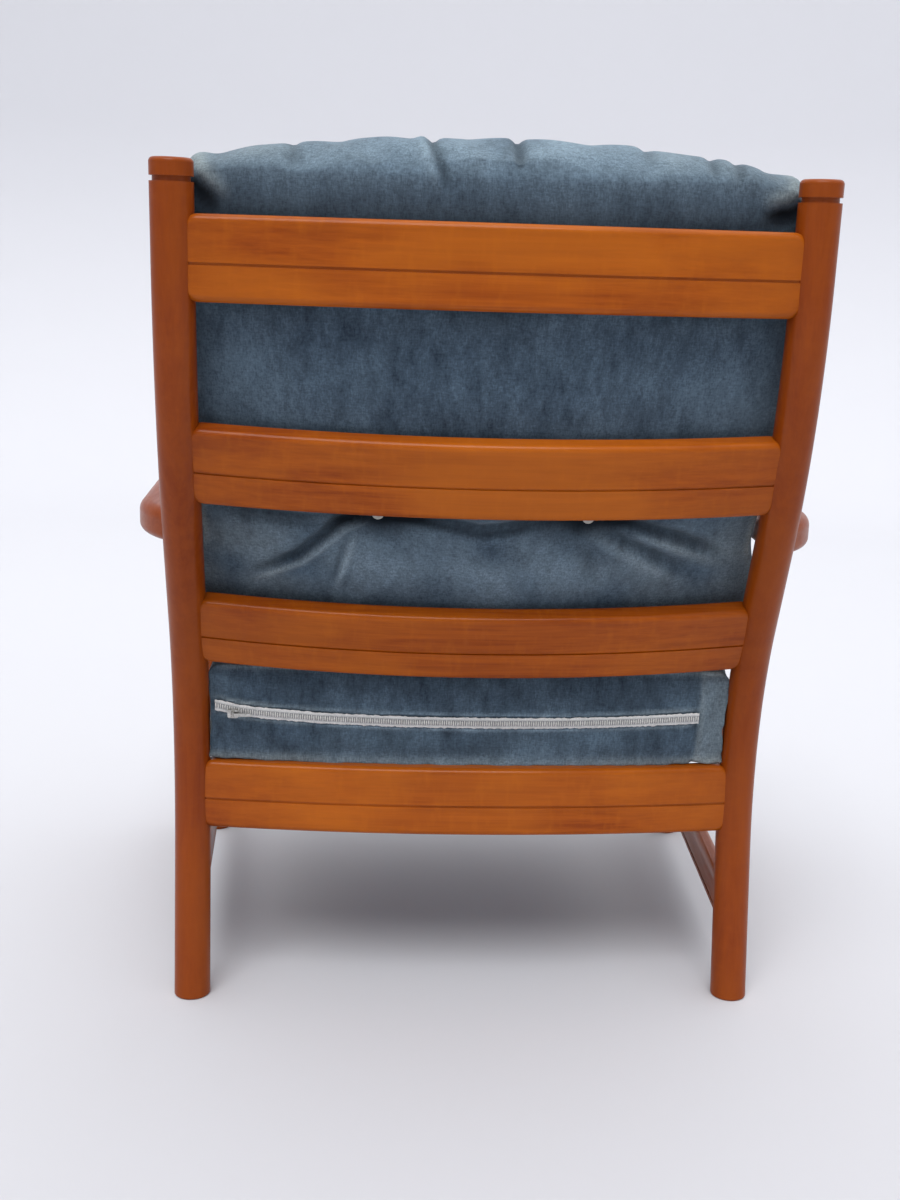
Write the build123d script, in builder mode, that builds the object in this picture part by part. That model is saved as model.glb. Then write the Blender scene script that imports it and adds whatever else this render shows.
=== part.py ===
"""Easy chair with a bent-post ladder back, paddle arms and loose velour cushions.

Millimetres. The chair stands on Z = 0, faces -Y and is mirrored about the YZ plane. "left" is the sitter's
left, which is +X. The origin is on the floor, under the middle of the chair's box.
"""
import os
from math import cos, pi, radians, sin, tan

from build123d import *

# Rear posts: a round bar bent in a side plane that opens towards the front
REAR_HALF_WIDTH = 285.0     # chair middle to post axis at the floor
SIDE_SPLAY = 4.3            # degrees that each side plane opens towards the front
POST_DIAMETER = 37.0
FOOT_KICK = 8.7             # degrees the foot stands back
FOOT_LENGTH = 153.0         # straight run above the floor
LOWER_BEND_RADIUS = 395.0
BACK_RAKE = 30.0            # degrees of the steepest run, between the bends
RAKED_LENGTH = 95.0
UPPER_BEND_RADIUS = 630.0
TOP_RAKE = 6.0              # degrees of the top run
TOP_LENGTH = 78.6
CAP_HEIGHT = 14.7           # turned cap above the cove
CAP_ROUNDING = 4.0
COVE_HEIGHT = 4.4
COVE_DEPTH = 2.6
FOOT_ROUNDING = 2.0

# Back slats and rear rail: places along the post axis, measured from the floor
RAIL_AT = 214.0
LOWER_SLAT_AT = 406.5
MIDDLE_SLAT_AT = 596.5
TOP_SLAT_AT = 777.5
RAIL_HEIGHT = 72.0
LOWER_SLAT_HEIGHT = 77.0
MIDDLE_SLAT_HEIGHT = 75.0
TOP_SLAT_HEIGHT = 72.0
SLAT_THICKNESS = 22.0
SLAT_BOW = 21.0             # how far the middle of a slat stands behind its ends
SLAT_HOUSING = 9.0          # how deep a slat end sits in the post
SLAT_CORNER = 13.0          # rounding of the end corners
SLAT_EDGE = 6.0             # rounding of the long edges
LINE_WIDTH = 2.4            # incised line on the rear face
LINE_DEPTH = 1.4
LINE_BELOW_TOP = 0.56       # share of the slat's own height

# Seat frame
BASE_DEPTH = 514.5          # rear foot to front leg, along the side plane
SEAT_SLOPE = 9.3            # degrees the seat rises to the front
SEAT_BACK = 18.0            # cushion's rear edge ahead of the rear feet
SEAT_OVER_RAIL = 1.0        # cushion's rear edge above the rear rail
RAIL_THICKNESS = 24.0
SIDE_RAIL_HEIGHT = 70.0
FRONT_RAIL_HEIGHT = 70.0
RAIL_EDGE = 4.0
SEAT_CLEARANCE = 0.3        # between the cushion and the rails below it

# Lower side stretchers
STRETCHER_BOTTOM = 66.0
STRETCHER_HEIGHT = 41.0
STRETCHER_THICKNESS = 20.0
STRETCHER_EDGE = 7.0
STRETCHER_LINE_UP = 11.0    # incised line above the lower edge

# Arms
ARM_REAR_HEIGHT = 508.0     # middle of the arm, over the rear foot
ARM_RISE = 3.4              # degrees the arm rises to the front
ARM_THICKNESS = 31.0
ARM_INSIDE = 17.0           # side plane to the inner edge, at the front
ARM_INSIDE_REAR = 10.0
ARM_OUTSIDE_REAR = 46.0     # side plane to the outer edge, over the rear foot
ARM_OUTSIDE_FRONT = 38.0
ARM_FRONT_OVERHANG = 42.0   # ahead of the front leg's axis
ARM_TOP_EDGE = 11.0
ARM_UNDER_EDGE = 8.0
LEG_TENON_DIAMETER = 22.0
LEG_TENON_LENGTH = 18.0
SEARCH_HALVINGS = 40        # steps that find the post's place at a height

# Dowels
DOWEL_DIAMETER = 10.0
DOWEL_LENGTH = 44.0
DOWEL_IN_POST = 18.0
SIDE_DOWEL_SPREAD = 10.0    # from the rail's middle line to each dowel
FRONT_DOWEL_SPREAD = 27.0
STRETCHER_DOWEL_SPREAD = 9.0
ARM_DOWEL_DIAMETER = 12.0

# Corner blocks of the seat frame
BLOCK_NEAR = 29.0           # leg axis to the block's short side, along the rails
BLOCK_FAR = 78.0
BLOCK_HEIGHT = 42.0
BLOCK_UP = 6.0              # above the lower edge of the rails
SCREW_DIAMETER = 6.0
SCREW_IN_LEG = 14.0
SCREW_UP = 11.0             # above the block's underside
SCREW_HEAD_DIAMETER = 12.0
SCREW_HEAD_HEIGHT = 4.0

# Rubber webbing
STRAP_COUNT = 6
STRAP_WIDTH = 50.0
STRAP_THICKNESS = 4.0
STRAP_BELOW_RAIL_TOP = 7.0
FIRST_STRAP = 88.0          # rear post's axis to the first strap's middle, along the rail
LAST_STRAP = 65.0           # last strap's middle to the front leg's axis
CLIP_DEPTH = 9.0
CLIP_LIP = 1.0              # clip in front of the rail's inner face
CLIP_WALL = 1.2
CLIP_OVERHANG = 1.5         # clip beyond the strap's width

# Seat cushion, in the plane of the seat
SEAT_REAR_HALF = 264.0
SEAT_FRONT_HALF = 286.0
SEAT_DEPTH = 535.0
SEAT_BOXING = 104.0         # height of the sides
SEAT_CROWN = 30.0
SEAT_CORNER = 12.0
SEAT_DRAW = 3.0             # how far the sewn edges are drawn in
SEAT_CROWN_RUN = 150.0      # from the sewn edge to the level middle of the crown
FORM_STEPS = 4              # slices in each stretch of a cushion's profile
COVER_THICKNESS = 1.6
FILL_GAP = 0.3              # between a filling and its cover

# Zip in the rear boxing
ZIP_HEIGHT = 54.0           # above the cushion's underside
ZIP_RIGHT_END = -238.0
ZIP_LEFT_END = 248.0
ZIP_GAP = 0.3
TAPE_WIDTH = 14.0
TAPE_THICKNESS = 0.8
COIL_WIDTH = 5.6
COIL_HEIGHT = 2.0
SLIDER_LENGTH = 11.0
SLIDER_WIDTH = 9.0
SLIDER_HEIGHT = 4.4
SLIDER_CLEARANCE = 0.4
SLIDER_PIN_DIAMETER = 1.4
PULL_LENGTH = 19.0
PULL_WIDTH = 3.2
PULL_THICKNESS = 1.5
PULL_EYE_DIAMETER = 3.6
PIN_CLEARANCE = 0.05
EAR_THICKNESS = 1.0
EAR_CLEARANCE = 0.3

# Back cushion: seam half widths from the bottom to the top of the leaning face
BACK_HALF_BOTTOM = 258.0
BACK_HALF_ARMS = 263.5
BACK_HALF_TOP = 281.0
BACK_ABOVE_SLAT = 54.0      # crown above the top slat's upper edge, along the lean
BACK_SIDE = 62.0            # height of the sides between the seams
BACK_SIDE_BULGE = 4.0
BACK_FRONT_CROWN = 42.0
BACK_REAR_CROWN = 32.0
BACK_CLEARANCE = 0.9        # from the slats
BACK_ON_SEAT = 0.4
BACK_BELOW = 34.0           # filling below the lower slat's edge, before it settles on the seat
FOOT_TUCK = 9.0             # lower end: drawn in from the rear, from each side, and share of the sides left
FOOT_NARROW = 6.0
FOOT_SIDE = 0.7
HEAD_SIDE = 0.9             # share of the sides left at the top slat's upper edge
SHOULDER_AT = 0.6           # shoulder of the crown, as a share of the crown's height
SHOULDER_TUCK = 10.0
SHOULDER_NARROW = 12.0
SHOULDER_SIDE = 0.62
CROWN_TUCK = 26.0           # upper end of the crown
CROWN_NARROW = 60.0
CROWN_SIDE = 0.2

# Tufts of the back cushion
TUFT_SPREAD_LOWER = 98.0    # chair middle to each of the lower pair
TUFT_SPREAD_UPPER = 190.0
TUFT_LOWER_AT = 178.0       # along the lean, from the lower slat's lower edge
TUFT_UPPER_AT = 395.0
FRONT_DIMPLE_RADIUS = 55.0
FRONT_DIMPLE_DEPTH = 16.0
REAR_DIMPLE_RADIUS = 34.0
REAR_DIMPLE_DEPTH = 7.0
BUTTON_DIAMETER = 24.0
BUTTON_HEIGHT = 7.0
BUTTON_ROUNDING = 4.9
TIE_DIAMETER = 11.0
TIE_HEIGHT = 2.0
CORD_DIAMETER = 2.4
CORD_CLEARANCE = 0.3

os.makedirs("parts", exist_ok=True)


def finish(piece, name):
    """Label a finished piece and write its file."""
    piece.part.label = name
    export_step(piece.part, f"parts/{name}.step")


def finish_pair(left, name):
    """Write a left piece and its mirrored right twin."""
    finish(left, f"{name}_left")
    with BuildPart() as right:
        mirror(left.part, about=Plane.YZ)
    finish(right, f"{name}_right")


# Post axis as a flat curve: x runs forwards from the rear foot, y runs up. It starts below the floor, so that
# the foot can be cut level
kick = radians(FOOT_KICK)
post_radius = POST_DIAMETER / 2
below_floor = post_radius
foot_dir = Vector(sin(kick), cos(kick))
with BuildLine() as post_curve:
    foot = Line(foot_dir * -below_floor, foot_dir * FOOT_LENGTH)
    lower_bend = JernArc(foot @ 1, foot % 1, LOWER_BEND_RADIUS, FOOT_KICK + BACK_RAKE)
    raked = Line(lower_bend @ 1, lower_bend @ 1 + (lower_bend % 1) * RAKED_LENGTH)
    upper_bend = JernArc(raked @ 1, raked % 1, UPPER_BEND_RADIUS, TOP_RAKE - BACK_RAKE)
    top = Line(upper_bend @ 1, upper_bend @ 1 + (upper_bend % 1) * TOP_LENGTH)
post_wire = post_curve.wires()[0]


def along_post(length):
    """Forward place, height and rake in degrees of the post axis at a length from the floor."""
    place = post_wire.position_at(below_floor + length, position_mode=PositionMode.LENGTH)
    heading = post_wire.tangent_at(below_floor + length, position_mode=PositionMode.LENGTH)
    return place.X, place.Y, Vector(0, 1).get_signed_angle(heading, Vector(0, 0, 1))


splay = radians(SIDE_SPLAY)
slope = radians(SEAT_SLOPE)
slat_forward, _, slat_rake = along_post(TOP_SLAT_AT)
slat_lean = (TOP_SLAT_HEIGHT / 2 - SLAT_EDGE) * sin(radians(slat_rake))
rear_reach = slat_lean - slat_forward * cos(splay) + SLAT_BOW + SLAT_THICKNESS / 2
front_reach = (BASE_DEPTH + ARM_FRONT_OVERHANG) * cos(splay)
rear_foot_y = (front_reach - rear_reach) / 2

side_plane = Plane(
    origin=(REAR_HALF_WIDTH, rear_foot_y, 0),
    x_dir=(sin(splay), -cos(splay), 0),
    z_dir=(-cos(splay), -sin(splay), 0),
)
outward = -side_plane.z_dir
forward = side_plane.x_dir


def side_point(ahead, height, out=0.0):
    """A point of the left side plane, moved outwards from it."""
    return side_plane.from_local_coords((ahead, height, -out))


# Slats and rear rail
def slat_frame(place):
    """Plane across a slat: x along the chair, y backwards, z up the slat."""
    ahead, height, rake = along_post(place)
    axis_point = side_point(ahead, height)
    lean = radians(rake)
    return Plane(
        origin=(0, axis_point.Y, axis_point.Z),
        x_dir=(1, 0, 0),
        z_dir=(0, sin(lean), cos(lean)),
    ), axis_point.X


def bowed_face(half_length, front, back):
    """Flat outline between two bowed arcs, square at the ends."""
    with BuildLine() as outline:
        near = ThreePointArc((-half_length, front), (0, front + SLAT_BOW), (half_length, front))
        far = ThreePointArc((-half_length, back), (0, back + SLAT_BOW), (half_length, back))
        Line(near @ 0, far @ 0)
        Line(near @ 1, far @ 1)
    make_face(outline.edges())


def bowed_slat(place, height):
    """A bowed board with rounded edges and one incised line behind."""
    frame, post_x = slat_frame(place)
    half_length = post_x - post_radius + SLAT_HOUSING
    half_thickness = SLAT_THICKNESS / 2
    with BuildPart() as slat:
        with BuildSketch(frame):
            bowed_face(half_length, -half_thickness, half_thickness)
        extrude(amount=height / 2, both=True)
        corners = slat.edges().filter_by(Axis(frame.origin, frame.y_dir))
        fillet(corners, SLAT_CORNER)
        broad = slat.faces().sort_by(Axis(frame.origin, frame.y_dir))
        fillet(broad[-1].edges() + broad[0].edges(), SLAT_EDGE)
        line_height = height * (0.5 - LINE_BELOW_TOP) - LINE_WIDTH / 2
        with BuildSketch(frame.offset(line_height)):
            bowed_face(half_length, half_thickness - LINE_DEPTH, half_thickness + LINE_DEPTH)
        extrude(amount=LINE_WIDTH, mode=Mode.SUBTRACT)
    return slat


slats = {
    "top_slat": bowed_slat(TOP_SLAT_AT, TOP_SLAT_HEIGHT),
    "middle_slat": bowed_slat(MIDDLE_SLAT_AT, MIDDLE_SLAT_HEIGHT),
    "lower_slat": bowed_slat(LOWER_SLAT_AT, LOWER_SLAT_HEIGHT),
    "rear_rail": bowed_slat(RAIL_AT, RAIL_HEIGHT),
}
for name in ("top_slat", "middle_slat", "lower_slat"):
    finish(slats[name], name)

# Seat plane: x along the chair, y backwards and down, z square to the seat
rear_rail_frame, rear_rail_x = slat_frame(RAIL_AT)
seat_plane = Plane(
    origin=(0, rear_foot_y - SEAT_BACK, rear_rail_frame.origin.Z + RAIL_HEIGHT / 2 + SEAT_OVER_RAIL),
    x_dir=(1, 0, 0),
    z_dir=(0, sin(slope), cos(slope)),
)


def seat_height(ahead):
    """Height of the seat plane in the side plane, at a distance ahead of the rear foot."""
    return seat_plane.origin.Z + (ahead * cos(splay) - SEAT_BACK) * tan(slope)


# The side rail's middle line runs under the seat plane from the rear post to the front leg
rail_drop = SEAT_CLEARANCE + SIDE_RAIL_HEIGHT / 2
rear_rail_ahead = along_post(RAIL_AT)[0]
side_rail_rise = (seat_height(BASE_DEPTH) - seat_height(rear_rail_ahead)) / (BASE_DEPTH - rear_rail_ahead)
side_rail_dir = (forward + Vector(0, 0, side_rail_rise)).normalized()
side_rail_up = outward.cross(side_rail_dir) * -1
side_rail_rear = side_point(rear_rail_ahead, seat_height(rear_rail_ahead)) - side_rail_up * rail_drop
side_rail_front = side_point(BASE_DEPTH, seat_height(BASE_DEPTH)) - side_rail_up * rail_drop
front_rail_top = seat_height(BASE_DEPTH - RAIL_THICKNESS / 2 / cos(splay)) - SEAT_CLEARANCE
front_leg_foot = side_point(BASE_DEPTH, 0)
front_rail_mid = Vector(0, front_leg_foot.Y, front_rail_top - FRONT_RAIL_HEIGHT / 2)

# Arm plane: x forwards along the arm, y outwards, z up from the arm's middle
arm_slope = radians(ARM_RISE)
arm_plane = Plane(
    origin=side_point(0, ARM_REAR_HEIGHT),
    x_dir=forward * cos(arm_slope) + Vector(0, 0, sin(arm_slope)),
    z_dir=forward * -sin(arm_slope) + Vector(0, 0, cos(arm_slope)),
)
arm_tip = (BASE_DEPTH + ARM_FRONT_OVERHANG) / cos(arm_slope)
arm_under_leg = ARM_REAR_HEIGHT + BASE_DEPTH * tan(arm_slope) - ARM_THICKNESS / 2 / cos(arm_slope)


def post_ahead_at(height):
    """Forward place of the post axis at a height, found along its length."""
    low = 0.0
    high = post_wire.length - below_floor
    for _ in range(SEARCH_HALVINGS):
        middle = (low + high) / 2
        if along_post(middle)[1] < height:
            low = middle
        else:
            high = middle
    return along_post(low)[0]


arm_rear = post_ahead_at(ARM_REAR_HEIGHT)
stretcher_mid = STRETCHER_BOTTOM + STRETCHER_HEIGHT / 2
stretcher_rear = post_ahead_at(stretcher_mid)


def dowel_group(places, direction, diameter, length, behind):
    """Dowels that start some way behind their places and run along a direction."""
    with BuildPart() as dowels:
        for place in places:
            with BuildSketch(Plane(origin=place - direction * behind, z_dir=direction)):
                Circle(diameter / 2)
            extrude(amount=length)
    return dowels.part


def spread_places(middle, up, spread):
    """Two places on either side of a middle."""
    return [middle + up * spread, middle - up * spread]


# Dowels on the left side. A dowel starts inside the post and ends inside the board
up = Vector(0, 0, 1)
to_rail = post_radius - DOWEL_IN_POST
rear_side_dowels = dowel_group(
    spread_places(side_rail_rear, side_rail_up, SIDE_DOWEL_SPREAD),
    side_rail_dir, DOWEL_DIAMETER, DOWEL_LENGTH, -to_rail)
front_side_dowels = dowel_group(
    spread_places(side_rail_front, side_rail_up, SIDE_DOWEL_SPREAD),
    side_rail_dir * -1, DOWEL_DIAMETER, DOWEL_LENGTH, -to_rail)
front_rail_end = Vector(front_leg_foot.X, front_rail_mid.Y, front_rail_mid.Z)
front_dowels = dowel_group(
    spread_places(front_rail_end, up, FRONT_DOWEL_SPREAD),
    Vector(-1, 0, 0), DOWEL_DIAMETER, DOWEL_LENGTH, -to_rail)
rear_stretcher_dowels = dowel_group(
    spread_places(side_point(stretcher_rear, stretcher_mid), up, STRETCHER_DOWEL_SPREAD),
    forward, DOWEL_DIAMETER, DOWEL_LENGTH, -to_rail)
front_stretcher_dowels = dowel_group(
    spread_places(side_point(BASE_DEPTH, stretcher_mid), up, STRETCHER_DOWEL_SPREAD),
    forward * -1, DOWEL_DIAMETER, DOWEL_LENGTH, -to_rail)
arm_dowel = dowel_group(
    [side_point(arm_rear, ARM_REAR_HEIGHT + arm_rear * tan(arm_slope))],
    arm_plane.x_dir, ARM_DOWEL_DIAMETER, DOWEL_LENGTH, -to_rail)

# Corner blocks of the left side, one at the leg and one at the post, seen from above
inward = outward * -1
across = Vector(-1, 0, 0)
backward = Vector(0, 1, 0)


def block_outline(corner, side_dir, cross_face):
    """Corners of a block between the side rail and a cross rail whose face is some way behind the corner."""
    side_face = inward * (RAIL_THICKNESS / 2)
    return [
        corner + side_dir * BLOCK_NEAR + side_face,
        corner + side_dir * BLOCK_FAR + side_face,
        corner + across * BLOCK_FAR + backward * cross_face,
        corner + across * BLOCK_NEAR + backward * cross_face,
    ]


def block_screw(outline, corner, bottom):
    """A screw from a block's inner side into the leg, with its head on the block."""
    height = up * (bottom + SCREW_UP)
    head = (outline[1] + outline[2]) * 0.5 + height
    drive = (corner + height - head).normalized()
    reach = (corner + height - head).length - post_radius + SCREW_IN_LEG
    face = Plane(origin=head, z_dir=(outline[2] - outline[1]).cross(up))
    with BuildPart() as screw:
        with BuildSketch(Plane(origin=head, z_dir=drive)):
            Circle(SCREW_DIAMETER / 2)
        extrude(amount=reach)
        with BuildSketch(face):
            Circle(SCREW_HEAD_DIAMETER / 2)
        extrude(amount=SCREW_HEAD_HEIGHT)
    return screw.part


front_corner = front_leg_foot
rear_corner = side_point(rear_rail_ahead, 0)
front_outline = block_outline(front_corner, forward * -1, RAIL_THICKNESS / 2)
rear_outline = block_outline(rear_corner, forward, SLAT_BOW - SLAT_THICKNESS / 2)
front_block_bottom = front_rail_mid.Z - FRONT_RAIL_HEIGHT / 2 + BLOCK_UP
rear_block_bottom = rear_rail_frame.origin.Z - RAIL_HEIGHT / 2 + BLOCK_UP
front_screw = block_screw(front_outline, front_corner, front_block_bottom)
rear_screw = block_screw(rear_outline, rear_corner, rear_block_bottom)

# Rear post
post_path = side_plane.from_local_coords(post_wire)
post_end = Plane(origin=post_path @ 1, z_dir=post_path % 1)
with BuildPart() as rear_post:
    with BuildSketch(Plane(origin=post_path @ 0, z_dir=post_path % 0)):
        Circle(post_radius)
    sweep(path=post_path)
    split(bisect_by=Plane.XY, keep=Keep.TOP)
    fillet(rear_post.faces().sort_by(Axis.Z)[0].edges(), FOOT_ROUNDING)
    fillet(rear_post.faces().sort_by(Axis.Z)[-1].edges(), CAP_ROUNDING)
    with BuildSketch(post_end.offset(-CAP_HEIGHT)):
        Circle(post_radius + COVE_DEPTH)
        Circle(post_radius - COVE_DEPTH, mode=Mode.SUBTRACT)
    extrude(amount=-COVE_HEIGHT, mode=Mode.SUBTRACT)
    round_post = rear_post.part
    for slat in slats.values():
        add(slat.part, mode=Mode.SUBTRACT)
    for taken in (rear_side_dowels, rear_stretcher_dowels, arm_dowel, rear_screw):
        add(taken, mode=Mode.SUBTRACT)

# Front leg, with a round tenon for the arm
with BuildPart() as front_leg:
    leg_plane = Plane(origin=front_leg_foot, z_dir=(0, 0, 1))
    with BuildSketch(leg_plane):
        Circle(post_radius)
    extrude(amount=arm_under_leg + ARM_THICKNESS / 2)
    fillet(front_leg.faces().sort_by(Axis.Z)[0].edges(), FOOT_ROUNDING)
    with BuildSketch(arm_plane.offset(-ARM_THICKNESS / 2)):
        with Locations((BASE_DEPTH / cos(arm_slope), 0)):
            Circle(POST_DIAMETER)
    extrude(amount=ARM_THICKNESS, mode=Mode.SUBTRACT)
    with BuildSketch(leg_plane.offset(arm_under_leg - LEG_TENON_LENGTH)):
        Circle(LEG_TENON_DIAMETER / 2)
    extrude(amount=2 * LEG_TENON_LENGTH)
    round_leg = front_leg.part
    for taken in (front_side_dowels, front_dowels, front_stretcher_dowels, front_screw):
        add(taken, mode=Mode.SUBTRACT)


def straight_rail(start, end, up_dir, height, thickness, edge):
    """A board between two points on its middle line, with its long edges rounded."""
    run = end - start
    with BuildPart() as board:
        with BuildSketch(Plane(origin=start, x_dir=up_dir, z_dir=run.normalized())):
            RectangleRounded(height, thickness, edge)
        extrude(amount=run.length)
    return board.part


# Side rail, scribed to the post and the leg, with slots for the webbing
strap_plane_drop = SEAT_CLEARANCE + STRAP_BELOW_RAIL_TOP
straps = []
clips = []
strap_pitch = ((side_rail_front - side_rail_rear).length - FIRST_STRAP - LAST_STRAP) / (STRAP_COUNT - 1)
for strap_number in range(STRAP_COUNT):
    run = FIRST_STRAP + strap_number * strap_pitch
    rail_point = side_rail_rear + side_rail_dir * run
    strap_frame = Plane(
        origin=Vector(0, rail_point.Y, rail_point.Z) + seat_plane.z_dir * (rail_drop - strap_plane_drop),
        x_dir=(1, 0, 0),
        z_dir=seat_plane.z_dir,
    )
    inner_face = rail_point.X - RAIL_THICKNESS / 2 / cos(splay)
    taper = STRAP_WIDTH / 2 * tan(splay)
    strap_end = inner_face - taper + CLIP_DEPTH - CLIP_WALL
    clip_start = inner_face - taper - CLIP_LIP
    straps.append((strap_frame, strap_end))
    clips.append((strap_frame, clip_start, strap_end + CLIP_WALL))

with BuildPart() as webbing_straps:
    for strap_frame, strap_end in straps:
        with BuildSketch(strap_frame):
            Rectangle(2 * strap_end, STRAP_WIDTH)
        extrude(amount=STRAP_THICKNESS / 2, both=True)
finish(webbing_straps, "webbing_straps")

clip_length = STRAP_WIDTH + 2 * CLIP_OVERHANG
clip_height = STRAP_THICKNESS + 2 * CLIP_WALL
with BuildPart() as left_clips:
    for strap_frame, clip_start, clip_end in clips:
        with BuildSketch(strap_frame):
            with Locations(((clip_start + clip_end) / 2, 0)):
                Rectangle(clip_end - clip_start, clip_length)
        extrude(amount=clip_height / 2, both=True)

with BuildPart() as side_rail:
    add(straight_rail(side_rail_rear, side_rail_front, side_rail_up,
                      SIDE_RAIL_HEIGHT, RAIL_THICKNESS, RAIL_EDGE))
    for taken in (round_post, round_leg, rear_side_dowels, front_side_dowels, left_clips.part,
                  front_screw, rear_screw):
        add(taken, mode=Mode.SUBTRACT)

with BuildPart() as webbing_clips:
    add(left_clips.part)
    mirror(left_clips.part, about=Plane.YZ)
    add(webbing_straps.part, mode=Mode.SUBTRACT)
finish(webbing_clips, "webbing_clips")

with BuildPart() as front_rail:
    add(straight_rail(front_rail_end, Vector(-front_rail_end.X, front_rail_end.Y, front_rail_end.Z), up,
                      FRONT_RAIL_HEIGHT, RAIL_THICKNESS, RAIL_EDGE))
    for taken in (round_leg, front_dowels, front_screw):
        add(taken, mode=Mode.SUBTRACT)
        mirror(taken, about=Plane.YZ, mode=Mode.SUBTRACT)
finish(front_rail, "front_rail")

with BuildPart() as stretcher:
    add(straight_rail(side_point(stretcher_rear, stretcher_mid), side_point(BASE_DEPTH, stretcher_mid), up,
                      STRETCHER_HEIGHT, STRETCHER_THICKNESS, STRETCHER_EDGE))
    for face_side in (-1, 1):
        with BuildSketch(Plane(origin=side_point(stretcher_rear, STRETCHER_BOTTOM + STRETCHER_LINE_UP,
                                                 face_side * STRETCHER_THICKNESS / 2),
                               x_dir=up, z_dir=forward)):
            Rectangle(LINE_WIDTH, 2 * LINE_DEPTH)
        extrude(amount=BASE_DEPTH, mode=Mode.SUBTRACT)
    for taken in (round_post, round_leg, rear_stretcher_dowels, front_stretcher_dowels):
        add(taken, mode=Mode.SUBTRACT)

# Arm: a paddle that flares out from the post and runs over the front leg
with BuildPart() as arm:
    with BuildSketch(arm_plane.offset(-ARM_THICKNESS / 2)):
        with BuildLine():
            rear_in = (arm_rear, -ARM_INSIDE_REAR)
            rear_out = (arm_rear, ARM_INSIDE)
            flare_end = (0, ARM_OUTSIDE_REAR)
            front_in = (arm_tip - ARM_INSIDE, -ARM_INSIDE)
            front_out = (arm_tip - ARM_INSIDE, ARM_OUTSIDE_FRONT)
            inner = Line(rear_in, front_in)
            outer = Line(flare_end, front_out)
            TangentArc(outer @ 0, rear_out, tangent=(outer % 0) * -1)
            ThreePointArc(front_in, (arm_tip, (ARM_OUTSIDE_FRONT - ARM_INSIDE) / 2), front_out)
            Line(rear_out, rear_in)
        make_face()
    extrude(amount=ARM_THICKNESS)
    arm_across = Axis(arm_plane.origin, arm_plane.y_dir)
    arm_upright = Axis(arm_plane.origin, arm_plane.z_dir)
    upper_face = arm.faces().filter_by(arm_upright).sort_by(Axis.Z)[-1]
    fillet(upper_face.edges() - arm.edges().filter_by(arm_across), ARM_TOP_EDGE)
    under_face = arm.faces().filter_by(arm_upright).sort_by(Axis.Z)[0]
    fillet(under_face.edges() - arm.edges().filter_by(arm_across), ARM_UNDER_EDGE)
    for taken in (round_post, round_leg, arm_dowel):
        add(taken, mode=Mode.SUBTRACT)

with BuildPart() as rear_rail:
    add(slats["rear_rail"].part)
    add(rear_screw, mode=Mode.SUBTRACT)
    mirror(rear_screw, about=Plane.YZ, mode=Mode.SUBTRACT)
finish(rear_rail, "rear_rail")


def corner_block(outline, bottom, taken):
    """A block across a frame corner, fitted to the boards that it touches."""
    with BuildPart() as block:
        with BuildSketch(Plane.XY.offset(bottom)):
            Polygon(*[(point.X, point.Y) for point in outline], align=None)
        extrude(amount=BLOCK_HEIGHT)
        for solid in taken:
            add(solid, mode=Mode.SUBTRACT)
    return block.part


front_block = corner_block(front_outline, front_block_bottom, (side_rail.part, front_rail.part))
rear_block = corner_block(rear_outline, rear_block_bottom, (side_rail.part, rear_rail.part, rear_post.part))

with BuildPart() as corner_blocks:
    for block in (front_block, rear_block):
        add(block)
        mirror(block, about=Plane.YZ)
    for screw in (front_screw, rear_screw):
        add(screw, mode=Mode.SUBTRACT)
        mirror(screw, about=Plane.YZ, mode=Mode.SUBTRACT)
finish(corner_blocks, "corner_blocks")

with BuildPart() as corner_screws:
    for screw in (front_screw, rear_screw):
        add(screw)
        mirror(screw, about=Plane.YZ)
finish(corner_screws, "corner_screws")

for left_piece, piece_name in (
    (rear_post, "rear_post"),
    (front_leg, "front_leg"),
    (side_rail, "side_rail"),
    (stretcher, "stretcher"),
    (arm, "arm"),
):
    finish_pair(left_piece, piece_name)

for dowel_sets, piece_name in (
    ((rear_side_dowels, front_side_dowels), "side_rail_dowels"),
    ((front_dowels,), "front_rail_dowels"),
    ((rear_stretcher_dowels, front_stretcher_dowels), "stretcher_dowels"),
    ((arm_dowel,), "arm_dowels"),
):
    with BuildPart() as dowel_node:
        for dowels in dowel_sets:
            add(dowels)
            mirror(dowels, about=Plane.YZ)
    finish(dowel_node, piece_name)


# Seat cushion
def seat_outline(inset):
    """The cushion seen from above, narrower at the back, with rounded corners."""
    rear_half = SEAT_REAR_HALF - inset
    front_half = SEAT_FRONT_HALF - inset
    with BuildLine() as outline:
        Polyline(
            (-rear_half, -inset),
            (rear_half, -inset),
            (front_half, inset - SEAT_DEPTH),
            (-front_half, inset - SEAT_DEPTH),
            close=True,
        )
    make_face(outline.edges())
    fillet(vertices(), SEAT_CORNER)


def seat_form(wall):
    """The crowned cushion, drawn in at its sewn edges, smaller by a wall all round."""
    stations = []
    for step in range(FORM_STEPS + 1):
        share = step / FORM_STEPS
        stations.append((SEAT_BOXING * share, SEAT_DRAW * (1 - sin(pi * share))))
    for step in range(1, FORM_STEPS + 1):
        turn = pi / 2 * step / FORM_STEPS
        stations.append((SEAT_BOXING + SEAT_CROWN * sin(turn), SEAT_DRAW + SEAT_CROWN_RUN * (1 - cos(turn))))
    total = SEAT_BOXING + SEAT_CROWN
    squeeze = (total - 2 * wall) / total
    with BuildPart() as form:
        for height, inset in stations:
            with BuildSketch(seat_plane.offset(wall + height * squeeze)):
                seat_outline(inset + wall)
        loft(ruled=True)
    return form.part


seat_outer = seat_form(0.0)
with BuildPart() as seat_cover:
    add(seat_outer)
    add(seat_form(COVER_THICKNESS), mode=Mode.SUBTRACT)
finish(seat_cover, "seat_cover")

with BuildPart() as seat_foam:
    add(seat_form(COVER_THICKNESS + FILL_GAP))
finish(seat_foam, "seat_foam")

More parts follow.
